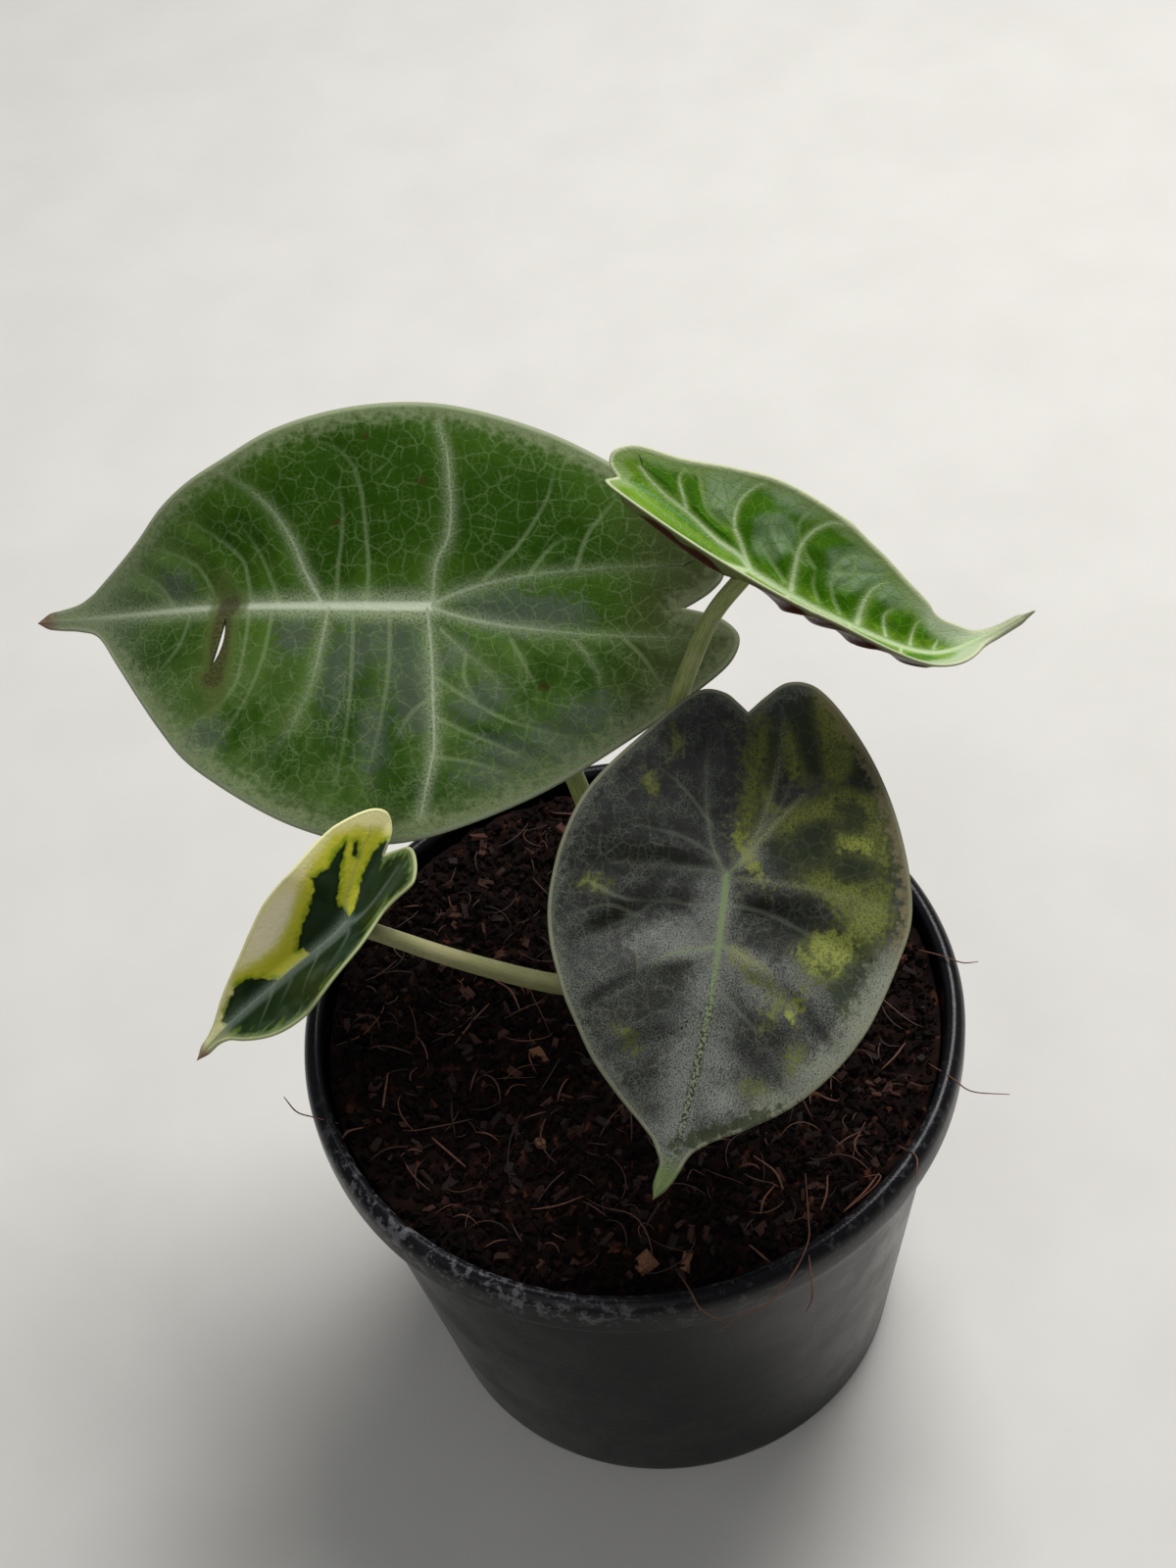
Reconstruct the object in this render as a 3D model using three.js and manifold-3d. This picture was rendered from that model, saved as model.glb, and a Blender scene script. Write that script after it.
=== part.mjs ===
// A young variegated alocasia in its nursery pot: a tapered plastic pot full of coir, a short stem with
// its roots inside the coir, and four leaves, each a ribbed blade on its own curved stalk.
// Millimetres, +Z up, the origin at the centre of the pot's underside, the viewer on the -Y side.
import * as THREE from "three";
import { mergeVertices } from "three/addons/utils/BufferGeometryUtils.js";
import Module from "manifold-3d";

const wasm = await Module();
wasm.setup();

// The pot: a 13 cm pot, its wall tapering down to the base, with a turned-down rim. The wall bends out
// to the rim at the neck, which lies the neck drop below the top; the skirt is how far the rim hangs down.
const POT_RIM_RADIUS = 65;
const POT_HEIGHT = 100;
const POT_BASE_RADIUS = 50;
const POT_NECK_RADIUS = 62;
const POT_WALL = 1.4;
const POT_FLOOR = 1.8;
const NECK_DROP = 6;
const RIM_SKIRT = 9;
const RIM_WALL = 1.2;
const POT_SIDES = 48;
const DRAIN_HOLES = 8;
const DRAIN_HOLE_RADIUS = 4;
const DRAIN_CIRCLE_RADIUS = 37;

// The coir: filled to just under the rim, a little higher round the stem.
const SOIL_TOP = 95.3;
const SOIL_MOUND = 1.5;
const SOIL_ROUGHNESS = 0.8;
const SOIL_SHOULDER = 3.5;
const SOIL_RINGS = 9;
const SOIL_SECTORS = 36;
const CHIP_TRIES = 34;
const CHIP_LENGTH = 5;
const CHIP_FROM_MIDDLE = [11, 53];
const CHIP_FROM_STEM = 14;

// Neighbouring pieces keep this much air between them.
const GAP = 0.3;

// The stem stands off the middle of the pot and ends just above the coir.
const STEM_FOOT = [4.5, 8, 62];
const STEM_TOP = [4, 8, 99];
const STEM_RADIUS = 6.5;
const STEM_SIDES = 14;
const STEM_STEPS = 6;
const ROOT_COUNT = 7;
const ROOT_RADIUS = 1.5;
const ROOT_REACH = 34;
const ROOT_DROP = 42;
const ROOT_HEIGHTS = [70, 88];
const ROOT_SIDES = 6;
const ROOT_STEPS = 7;

// Blades: thickness at the midrib and at the margin, and the rib that stands out underneath. The rib
// keeps this share of its height at the tip and at the lobes' ends.
const BLADE_THICKNESS = 1.1;
const EDGE_THICKNESS = 0.75;
const RIB_HEIGHT = 1.1;
const RIB_WIDTH = 1.7;
const RIB_AT_TIP = 0.25;
const RIB_AT_LOBE = 0.4;
// Where a basal vein heads for before it turns to the lobe, as a share of its reach along and across.
const BASAL_PULL = [0.25, 0.95];
// How fast a side vein turns towards the tip, and how far it first swings back, as a share of its reach.
const VEIN_TURN = 1.6;
const VEIN_BOW = 0.08;
// Between two side veins the blade swells: fully where the vein is this long, less where it is shorter
// and between the lobes.
const QUILT_REACH = 15;
const INNER_QUILT = 0.3;

// Each leaf is drawn flat first: along is millimetres from the stalk towards the tip, across is
// millimetres from the midrib. A row is one side vein: where it leaves the midrib, and where it meets
// the margin on either side. Rows after the hub leave the two basal veins, at a share of their length.
// spine lists where the midrib runs in the pot's frame, from the notch between the lobes to the tip.
// facing is the azimuth and elevation in degrees that the upper face looks to.
// fold and curl hold three values: at the lobes, at the stalk and towards the tip. fold is how many
// degrees a half of the blade stands up, curl how fast it goes on turning, in radians per millimetre.
// left is the half with positive across, right the half with negative across.
// hinge is how far from the midrib the fold is complete, quilt the height of the swelling between veins.
// size is how many times as large as its flat drawing the leaf has grown.
const LEAVES = {
  large: {
    colour: 0x3f6b33,
    size: 1.045,
    facing: [-94, 58],
    tipFacing: [-108, 59],
    spine: [[20, 38, 171], [-26, 46, 172.5], [-63, 55.5, 170], [-92.5, 68.5, 159], [-105.5, 76, 152.5]],
    left: { fold: [4, 6, 8], curl: [-0.006, -0.004, 0], basal: [-47, 5.5] },
    right: { fold: [4, 6, 8], curl: [-0.006, -0.004, 0], basal: [-45, -7.5] },
    hinge: 4,
    quilt: 0.7,
    tip: 84.6,
    notch: -45,
    midribRows: [
      [81, [81, 1], [81.5, -1.5]],
      [77, [77, 1.5], [78, -2]],
      [72, [72, 2], [72.5, -3]],
      [66, [67, 3.5], [68, -5.5]],
      [58, [60.5, 9.5], [62, -9.5]],
      [49, [54, 16.5], [57, -13.5]],
      [40, [49, 22], [51.5, -19]],
      [30, [42.5, 28.5], [46, -23]],
      [20, [33, 34.5], [39.5, -26.5]],
      [13, [21, 40], [29, -32]],
      [6, [9.5, 42.5], [14.5, -36]],
      [0, [0, 41.5], [0, -36.5]],
    ],
    basalRows: [
      [0.35, [-19, 34], [-20, -31.5]],
      [0.65, [-35, 24], [-35.5, -23.5]],
      [0.9, [-46.5, 15.5], [-46, -16]],
      [1, [-53.5, 9], [-51.5, -9.5]],
      [0.9, [-54.5, 5], [-51.5, -5.5]],
      [0.65, [-52, 2.2], [-49.5, -3]],
      [0.35, [-48.5, 0.8], [-47, -1.2]],
    ],
    stalk: {
      path: [[1.6, 10.4, 98], [0.5, 17, 116.5], [-4, 28, 138.5], [-9.5, 37, 154.5], [-20, 47.5, 165]],
      radius: [2.2, 1.7],
    },
  },
  folded: {
    colour: 0x4f8a2c,
    size: 1,
    facing: [-52, 78],
    tipFacing: [-52, 78],
    spine: [
      [11.5, 40, 203.5],
      [31, 24, 193],
      [44.5, 16, 186.5],
      [60.5, 9.5, 181],
      [70, 11, 181.5],
      [79.5, 13.5, 184],
    ],
    left: { fold: [34, 34, 34], curl: [0.02, 0.02, 0.02], basal: [-26, 4.5] },
    right: { fold: [49, 46, 48], curl: [0.03, 0.03, 0.03], basal: [-24, -4.5] },
    hinge: 3,
    quilt: 0.9,
    tip: 54.5,
    notch: -28,
    midribRows: [
      [51.5, [51.5, 0.5], [51.5, -0.5]],
      [47.5, [47.5, 0.8], [47.5, -0.8]],
      [44, [44, 1.7], [44, -1.6]],
      [40, [40.5, 4.6], [40.5, -4.6]],
      [35, [35.5, 7.6], [35.5, -8.6]],
      [29, [30.5, 9.6], [30.5, -12.5]],
      [22, [25.5, 11.5], [26, -15]],
      [15, [19, 14.2], [19.5, -17]],
      [8, [11, 16.4], [11.5, -18]],
      [0, [-4, 16.4], [-3, -18]],
    ],
    basalRows: [
      [0.4, [-13, 13.3], [-13, -15]],
      [0.75, [-21, 9.3], [-20.5, -11.3]],
      [1, [-29, 6.2], [-26, -8]],
      [0.75, [-31.3, 3.3], [-28.3, -5]],
      [0.4, [-30.5, 1.3], [-29, -2.3]],
    ],
    stalk: {
      path: [
        [6.4, 10.4, 98],
        [8.7, 15.3, 118],
        [11.8, 17.5, 142],
        [14.2, 17.4, 158],
        [16.2, 17, 169.5],
        [19.3, 18.8, 177],
        [24.3, 22, 185.5],
      ],
      radius: [2.2, 1.6],
    },
  },
  grey: {
    colour: 0x5c665a,
    size: 0.955,
    facing: [-91, 53],
    tipFacing: [-96, 48],
    spine: [[28, 9.5, 172.5], [20, -15.5, 159.5], [14, -33.5, 148.5], [4.5, -53, 134.5], [-0.5, -60, 130.5]],
    left: { fold: [2, 5, 12], curl: [-0.004, -0.006, 0], basal: [-28, 7] },
    right: { fold: [2, 5, 12], curl: [-0.004, -0.006, 0], basal: [-25, -6.5] },
    hinge: 4,
    quilt: 1,
    tip: 60,
    notch: -30.5,
    midribRows: [
      [57, [56.5, 1.5], [56.5, -1]],
      [54, [53.5, 2], [53.5, -1.5]],
      [51, [51, 2.5], [51.5, -3]],
      [46, [47, 5.5], [47.5, -7]],
      [39, [42.5, 11.5], [42.5, -13]],
      [30, [37, 18.5], [37, -19]],
      [21, [31, 24], [32, -23]],
      [12, [24.5, 28], [26, -27]],
      [5, [13.5, 32], [16, -30.5]],
      [0, [3, 34], [5, -31.5]],
    ],
    basalRows: [
      [0.4, [-13, 30], [-11, -28]],
      [0.75, [-27, 22], [-24, -18.5]],
      [1, [-37, 11.5], [-33.5, -9]],
      [0.75, [-37, 6.5], [-33.5, -4.5]],
      [0.4, [-34, 3], [-32, -2]],
    ],
    stalk: {
      path: [[6.4, 5.6, 98], [12, 3, 120], [19, -3.5, 141]],
      radius: [2.2, 1.7],
    },
  },
  small: {
    colour: 0xb9bf7a,
    size: 0.962,
    facing: [-96, 65],
    tipFacing: [-96, 65],
    spine: [[-40, 4.5, 153.5], [-48.5, -4, 146.5], [-60.5, -9.5, 141], [-73.5, -16.5, 136], [-78.5, -20, 133.5]],
    left: { fold: [42, 60, 42], curl: [0, 0, 0], basal: [-14, 5.5] },
    right: { fold: [45, 48, 50], curl: [0, 0, 0], basal: [-17, -5] },
    hinge: 3,
    quilt: 0.4,
    tip: 38,
    notch: -14.5,
    midribRows: [
      [35.5, [35.5, 0.6], [35.5, -0.6]],
      [33, [33, 1], [33, -1]],
      [30, [31, 2.5], [30, -2.5]],
      [25, [28, 6.5], [25.5, -5.5]],
      [19, [23.5, 11], [20.5, -8.5]],
      [12, [17.5, 14], [15, -11.5]],
      [6, [10, 16], [8, -15]],
      [0, [1.5, 14], [-2, -16]],
    ],
    basalRows: [
      [0.4, [-5.5, 10.5], [-9.5, -14.5]],
      [0.75, [-13, 12.5], [-15.5, -11.5]],
      [1, [-17.5, 7.5], [-21, -6.5]],
      [0.75, [-18, 4.5], [-21.5, -3.5]],
      [0.4, [-16.5, 2], [-19, -1]],
    ],
    stalk: {
      path: [[1.6, 5.6, 98.5], [-2, 2.1, 106], [-12.5, -3.4, 117], [-28.7, -5.3, 131], [-41.3, -4.7, 141]],
      radius: [2.2, 1.6],
    },
  },
};

// The hole in the large leaf: where it lies on the flat blade, its length and its width.
const TEAR_AT = [38.5, 6.5];
const TEAR_LENGTH = 9;
const TEAR_WIDTH = 1.1;
const TEAR_LEAN = 0.12;

// Columns of the blade's mesh between two rows, and steps from the vein to the margin.
const COLUMNS_PER_ROW = 2;
const STEPS_ACROSS = 5;
const STEP_SPREAD = 1.6;
const STALK_SIDES = 9;
const STALK_STEPS = 14;

const vec = (p) => new THREE.Vector3(...p);
const lerp = THREE.MathUtils.lerp;
const smooth = (x) => THREE.MathUtils.smoothstep(x, 0, 1);

// A small seeded generator, so that every build scatters the chips alike.
function seeded(seed) {
  let state = seed;
  return () => {
    state = (state * 1664525 + 1013904223) % 4294967296;
    return state / 4294967296;
  };
}

function direction([azimuth, elevation]) {
  const a = THREE.MathUtils.degToRad(azimuth);
  const e = THREE.MathUtils.degToRad(elevation);
  return new THREE.Vector3(Math.cos(e) * Math.cos(a), Math.cos(e) * Math.sin(a), Math.sin(e));
}

// Closed meshes become solids for joining and cutting, and come back as plain geometry.
function solid(geometry) {
  const bare = geometry.clone();
  bare.deleteAttribute("normal");
  bare.deleteAttribute("uv");
  const merged = mergeVertices(bare, 1e-3);
  const vertProperties = merged.attributes.position.array;
  const triVerts = new Uint32Array(merged.index.array);
  return new wasm.Manifold(new wasm.Mesh({ numProp: 3, vertProperties, triVerts }));
}

function geometryOf(made) {
  const mesh = made.getMesh();
  const geometry = new THREE.BufferGeometry();
  geometry.setAttribute("position", new THREE.BufferAttribute(new Float32Array(mesh.vertProperties), 3));
  geometry.setIndex(new THREE.BufferAttribute(new Uint32Array(mesh.triVerts), 1));
  return geometry;
}

// Going a length along an arc that starts at an angle and bends at a steady rate.
function alongArc(angle, bend, length) {
  if (Math.abs(bend) < 1e-6) return [length * Math.cos(angle), length * Math.sin(angle)];
  const end = angle + bend * length;
  return [(Math.sin(end) - Math.sin(angle)) / bend, (Math.cos(angle) - Math.cos(end)) / bend];
}

// Places a point of the flat leaf: along the spine curve, then out along a half that folds up at
// the hinge and goes on curling. Gives the point and the direction that the upper face looks to.
function leafPlacer(leaf) {
  const points = leaf.spine.map(vec);
  const curve = new THREE.CatmullRomCurve3(points);
  const marks = [0];
  for (let i = 1; i < points.length; i++) marks.push(marks[i - 1] + points[i].distanceTo(points[i - 1]));
  const hubMark = marks[1];
  const length = marks.at(-1) - hubMark;
  const [facing, tipFacing] = [direction(leaf.facing), direction(leaf.tipFacing)];

  const three = (values, share) =>
    share < 0
      ? lerp(values[1], values[0], smooth(-share / 0.5))
      : lerp(values[1], values[2], smooth(share / 0.6));

  return (drawnAlong, drawnAcross) => {
    const [along, across] = [drawnAlong * leaf.size, drawnAcross * leaf.size];
    const mark = along + hubMark;
    const inside = THREE.MathUtils.clamp(mark, 0, marks.at(-1));
    let i = 0;
    while (i < points.length - 2 && inside > marks[i + 1]) i++;
    const t = (i + (inside - marks[i]) / (marks[i + 1] - marks[i])) / (points.length - 1);
    const ahead = curve.getTangent(t);
    const at = curve.getPoint(t).addScaledVector(ahead, mark - inside);

    const share = along / length;
    const up = facing.clone().lerp(tipFacing, THREE.MathUtils.clamp(share, 0, 1));
    const side = up.cross(ahead).normalize();
    const normal = ahead.clone().cross(side);

    const half = across < 0 ? leaf.right : leaf.left;
    const out = Math.abs(across);
    const sign = Math.sign(across);
    const fold = THREE.MathUtils.degToRad(three(half.fold, share));
    const curl = three(half.curl, share);
    const onHinge = Math.min(out, leaf.hinge);
    const pastHinge = out - onHinge;
    const [y1, z1] = alongArc(0, fold / leaf.hinge, onHinge);
    const [y2, z2] = alongArc(fold, curl, pastHinge);
    const tilt = (fold / leaf.hinge) * onHinge + curl * pastHinge;
    at.addScaledVector(side, sign * (y1 + y2)).addScaledVector(normal, z1 + z2);
    const face = normal.multiplyScalar(Math.cos(tilt)).addScaledVector(side, -sign * Math.sin(tilt));
    return { at, face };
  };
}

// The basal vein of a half runs from the hub out to the lobe: it leaves steeply and then turns.
function basalVein(end, share) {
  const pull = 2 * share * (1 - share);
  const far = share * share;
  return [end[0] * (BASAL_PULL[0] * pull + far), end[1] * (BASAL_PULL[1] * pull + far)];
}

// The foot and the margin point of each row of one half, in order from the tip to the notch.
function halfRows(leaf, side) {
  const end = leaf[side === 1 ? "left" : "right"].basal;
  const rows = [{ foot: [leaf.tip - 1.2, 0], edge: [leaf.tip, 0] }];
  for (const row of leaf.midribRows) rows.push({ foot: [row[0], 0], edge: row[side] });
  for (const row of leaf.basalRows) {
    rows.push({ foot: basalVein(end, row[0]), share: row[0], edge: row[side] });
  }
  rows.push({ foot: [0, 0], share: 0, edge: [leaf.notch, 0] });
  return { rows, end };
}

// One half of the blade as a grid: columns follow the side veins, steps go from vein to margin.
function halfGrid(leaf, side, place) {
  const { rows, end } = halfRows(leaf, side);
  const margin = new THREE.CatmullRomCurve3(rows.map((row) => new THREE.Vector3(...row.edge, 0)));
  const columns = (rows.length - 1) * COLUMNS_PER_ROW;
  const hubRow = leaf.midribRows.length;
  const lobeColumn = (hubRow + 1 + leaf.basalRows.findIndex((row) => row[0] === 1)) * COLUMNS_PER_ROW;
  const grid = [];
  for (let c = 0; c <= columns; c++) {
    const r = Math.min(Math.floor(c / COLUMNS_PER_ROW), rows.length - 2);
    const f = c / COLUMNS_PER_ROW - r;
    const onBasal = r >= hubRow;
    const share = onBasal ? lerp(rows[r].share ?? 0, rows[r + 1].share, f) : 0;
    const foot = onBasal ? basalVein(end, share) : [lerp(rows[r].foot[0], rows[r + 1].foot[0], f), 0];
    const edge = margin.getPoint(c / columns);
    if (c === 0 || c === columns) edge.y = 0;
    const reach = [edge.x - foot[0], edge.y - foot[1]];
    const span = Math.min(Math.hypot(...reach) / QUILT_REACH, 1);
    const between = Math.sin(Math.PI * f) * span * (c > lobeColumn ? INNER_QUILT : 1);
    const column = [];
    for (let s = 0; s <= STEPS_ACROSS; s++) {
      const v = (s / STEPS_ACROSS) ** STEP_SPREAD;
      const bow = VEIN_BOW * Math.abs(reach[1]) * Math.sin(Math.PI * v);
      const along = foot[0] + reach[0] * v ** VEIN_TURN - bow;
      const across = foot[1] + reach[1] * v;
      const { at, face } = place(along, across);
      const swell = between * Math.sin(Math.PI * v);
      const fromVein = Math.hypot(along - foot[0], across - foot[1]);
      const taper = onBasal ? lerp(1, RIB_AT_LOBE, share) : lerp(1, RIB_AT_TIP, foot[0] / leaf.tip);
      const rib = RIB_HEIGHT * taper * Math.exp(-((fromVein / RIB_WIDTH) ** 2));
      const lift = leaf.quilt * swell;
      const half = lerp(BLADE_THICKNESS, EDGE_THICKNESS, v) / 2;
      const top = at.clone().addScaledVector(face, lift + half);
      const bottom = at.clone().addScaledVector(face, lift - half - rib);
      column.push({ top, bottom });
    }
    grid.push(column);
  }
  return grid;
}

// Both halves share the midrib and the line from the hub to the notch, so merging closes the blade.
function bladeGeometry(leaf) {
  const place = leafPlacer(leaf);
  const corners = [];
  const quad = (a, b, c, d, flip) => {
    const order = flip ? [a, c, b, a, d, c] : [a, b, c, a, c, d];
    for (const p of order) corners.push(p.x, p.y, p.z);
  };
  for (const side of [1, 2]) {
    const grid = halfGrid(leaf, side, place);
    const flip = side === 1;
    for (let c = 0; c < grid.length - 1; c++) {
      for (let s = 0; s < STEPS_ACROSS; s++) {
        const [a, b, d, e] = [grid[c][s], grid[c + 1][s], grid[c + 1][s + 1], grid[c][s + 1]];
        quad(a.top, b.top, d.top, e.top, flip);
        quad(a.bottom, b.bottom, d.bottom, e.bottom, !flip);
      }
      const [near, next] = [grid[c][STEPS_ACROSS], grid[c + 1][STEPS_ACROSS]];
      quad(near.top, next.top, next.bottom, near.bottom, flip);
    }
  }
  const geometry = new THREE.BufferGeometry();
  geometry.setAttribute("position", new THREE.BufferAttribute(new Float32Array(corners), 3));
  const merged = mergeVertices(geometry, 1e-3);
  const index = merged.index.array;
  const kept = [];
  for (let i = 0; i < index.length; i += 3) {
    const [a, b, c] = [index[i], index[i + 1], index[i + 2]];
    if (a !== b && b !== c && c !== a) kept.push(a, b, c);
  }
  merged.setIndex(kept);
  return merged;
}

// A round stalk or root along a curve, its radius going from one value to the other, closed at both
// ends. Where an end has a seat, its ring is slid along the curve until it lies in the seat's plane.
function taperedTube(points, [startRadius, endRadius], sides, steps, seats = {}) {
  const curve = new THREE.CatmullRomCurve3(points);
  const frames = curve.computeFrenetFrames(steps, false);
  const corners = [];
  const index = [];
  for (let i = 0; i <= steps; i++) {
    const centre = curve.getPointAt(i / steps);
    const radius = lerp(startRadius, endRadius, Math.sqrt(i / steps));
    for (let k = 0; k < sides; k++) {
      const a = (2 * Math.PI * k) / sides;
      const p = centre.clone();
      p.addScaledVector(frames.normals[i], radius * Math.cos(a));
      p.addScaledVector(frames.binormals[i], radius * Math.sin(a));
      const seat = seats[i];
      if (seat) {
        const short = seat.at.clone().sub(p).dot(seat.face) / frames.tangents[i].dot(seat.face);
        p.addScaledVector(frames.tangents[i], short);
      }
      corners.push(p.x, p.y, p.z);
    }
  }
  const ring = (i, k) => i * sides + (k % sides);
  for (let i = 0; i < steps; i++) {
    for (let k = 0; k < sides; k++) {
      index.push(ring(i, k), ring(i, k + 1), ring(i + 1, k + 1));
      index.push(ring(i, k), ring(i + 1, k + 1), ring(i + 1, k));
    }
  }
  for (let k = 1; k < sides - 1; k++) {
    index.push(ring(0, 0), ring(0, k + 1), ring(0, k));
    index.push(ring(steps, 0), ring(steps, k), ring(steps, k + 1));
  }
  const geometry = new THREE.BufferGeometry();
  geometry.setAttribute("position", new THREE.BufferAttribute(new Float32Array(corners), 3));
  geometry.setIndex(index);
  return geometry;
}

// The stalk stands on the stem and ends under the hub of its blade, cut flush with both.
function stalkGeometry(leaf) {
  const { at, face } = leafPlacer(leaf)(0, 0);
  const under = BLADE_THICKNESS / 2 + RIB_HEIGHT + GAP;
  const end = at.clone().addScaledVector(face, -under);
  const seats = {
    0: { at: vec([0, 0, STEM_TOP[2] + GAP]), face: vec([0, 0, 1]) },
    [STALK_STEPS]: { at: end, face },
  };
  return taperedTube([...leaf.stalk.path.map(vec), end], leaf.stalk.radius, STALK_SIDES, STALK_STEPS, seats);
}

// The roots leave the stem all round, run out and down, and taper to a point.
function rootPath(k) {
  const random = seeded(40 + k);
  const a = (2 * Math.PI * (k + 0.35 * random())) / ROOT_COUNT;
  const start = lerp(...ROOT_HEIGHTS, ((k * 3) % ROOT_COUNT) / ROOT_COUNT);
  const reach = ROOT_REACH * (0.8 + 0.25 * random());
  const drop = ROOT_DROP * (0.8 + 0.4 * random());
  const swing = 0.5 * (random() - 0.5);
  const at = (share, height) =>
    new THREE.Vector3(
      STEM_FOOT[0] + reach * share * Math.cos(a + swing * share),
      STEM_FOOT[1] * (1 - 0.4 * share) + reach * share * Math.sin(a + swing * share),
      height,
    );
  return [at(0.06, start), at(0.4, start - 0.12 * drop), at(0.75, start - 0.45 * drop), at(1, start - drop)];
}

// The stem with its roots; with an extra it is that much bigger all round, to cut their bed in the coir.
function rootBall(extra) {
  const [foot, top] = [vec(STEM_FOOT), vec(STEM_TOP)];
  foot.z -= extra;
  top.z += extra;
  const level = { [STEM_STEPS]: { at: top, face: vec([0, 0, 1]) } };
  const girth = [STEM_RADIUS * 0.7 + extra, STEM_RADIUS + extra];
  let made = solid(taperedTube([foot, top], girth, STEM_SIDES, STEM_STEPS, level));
  for (let k = 0; k < ROOT_COUNT; k++) {
    const path = rootPath(k);
    const [end, before] = [path.at(-1), path.at(-2)];
    end.addScaledVector(end.clone().sub(before).normalize(), extra);
    const radii = [ROOT_RADIUS + extra, 0.5 * ROOT_RADIUS + extra];
    made = made.add(solid(taperedTube(path, radii, ROOT_SIDES, ROOT_STEPS)));
  }
  return made;
}

function potGeometry() {
  const lipTop = POT_HEIGHT;
  const skirt = lipTop - RIM_SKIRT;
  const outer = POT_RIM_RADIUS;
  const neckInner = POT_NECK_RADIUS - POT_WALL;
  const baseInner = POT_BASE_RADIUS - POT_WALL;
  const profile = [
    [0, 0],
    [POT_BASE_RADIUS - 1.5, 0],
    [POT_BASE_RADIUS - 0.4, 0.5],
    [POT_BASE_RADIUS, 2],
    [POT_NECK_RADIUS, lipTop - NECK_DROP],
    [outer - RIM_WALL - 0.8, lipTop - 3],
    [outer - RIM_WALL, skirt],
    [outer - 0.2, skirt],
    [outer, skirt + 2],
    [outer, lipTop - 2.2],
    [outer - 0.7, lipTop - 0.7],
    [outer - 2.1, lipTop],
    [outer - 3.5, lipTop - 0.5],
    [neckInner + 0.6, lipTop - 2.4],
    [neckInner, lipTop - NECK_DROP],
    [baseInner, POT_FLOOR + 1],
    [baseInner - 1, POT_FLOOR],
    [0, POT_FLOOR],
  ];
  const shell = new THREE.LatheGeometry(profile.map(([r, z]) => new THREE.Vector2(r, z)), POT_SIDES);
  shell.rotateX(Math.PI / 2);
  let made = solid(shell);
  for (let k = 0; k < DRAIN_HOLES; k++) {
    const a = (2 * Math.PI * (k + 0.5)) / DRAIN_HOLES;
    const hole = new THREE.CylinderGeometry(DRAIN_HOLE_RADIUS, DRAIN_HOLE_RADIUS, 4 * POT_FLOOR, 12);
    hole.rotateX(Math.PI / 2);
    hole.translate(DRAIN_CIRCLE_RADIUS * Math.cos(a), DRAIN_CIRCLE_RADIUS * Math.sin(a), 0);
    made = made.subtract(solid(hole));
  }
  return geometryOf(made);
}

// The pot's inside radius at a height, which the coir follows with its gap.
function insideRadius(z) {
  const share = (z - POT_FLOOR - 1) / (POT_HEIGHT - NECK_DROP - POT_FLOOR - 1);
  return lerp(POT_BASE_RADIUS, POT_NECK_RADIUS, share) - POT_WALL;
}

function soilHeight(x, y) {
  const r = Math.hypot(x - STEM_TOP[0], y - STEM_TOP[1]);
  const waves = Math.sin(x / 5.3 + 1.3) * Math.cos(y / 6.1) + 0.7 * Math.sin(x / 2.9 - y / 3.3 + 2);
  const mound = SOIL_MOUND * Math.exp(-((r / 22) ** 2));
  return SOIL_TOP + mound + SOIL_ROUGHNESS * waves;
}

function soilBody() {
  const bottom = POT_FLOOR + GAP;
  const shoulder = SOIL_TOP - SOIL_SHOULDER;
  const corners = [0, 0, soilHeight(0, 0)];
  const index = [];
  const ring = (i, k) => 1 + (i - 1) * SOIL_SECTORS + (k % SOIL_SECTORS);
  const circle = (radius, height) => {
    for (let k = 0; k < SOIL_SECTORS; k++) {
      const a = (2 * Math.PI * k) / SOIL_SECTORS;
      const [x, y] = [radius * Math.cos(a), radius * Math.sin(a)];
      corners.push(x, y, height ?? soilHeight(x, y));
    }
  };
  const topRadius = insideRadius(shoulder) - GAP - 0.1;
  for (let i = 1; i <= SOIL_RINGS; i++) circle((topRadius - 0.4) * (i / SOIL_RINGS));
  circle(topRadius, shoulder);
  circle(insideRadius(bottom) - 1.6, bottom);
  const rings = SOIL_RINGS + 2;
  for (let k = 0; k < SOIL_SECTORS; k++) index.push(0, ring(1, k), ring(1, k + 1));
  for (let i = 1; i < rings; i++) {
    for (let k = 0; k < SOIL_SECTORS; k++) {
      index.push(ring(i, k), ring(i + 1, k), ring(i + 1, k + 1));
      index.push(ring(i, k), ring(i + 1, k + 1), ring(i, k + 1));
    }
  }
  const last = corners.length / 3;
  corners.push(0, 0, bottom);
  for (let k = 0; k < SOIL_SECTORS; k++) index.push(last, ring(rings, k + 1), ring(rings, k));
  const geometry = new THREE.BufferGeometry();
  geometry.setAttribute("position", new THREE.BufferAttribute(new Float32Array(corners), 3));
  geometry.setIndex(index);
  return solid(geometry);
}

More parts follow.
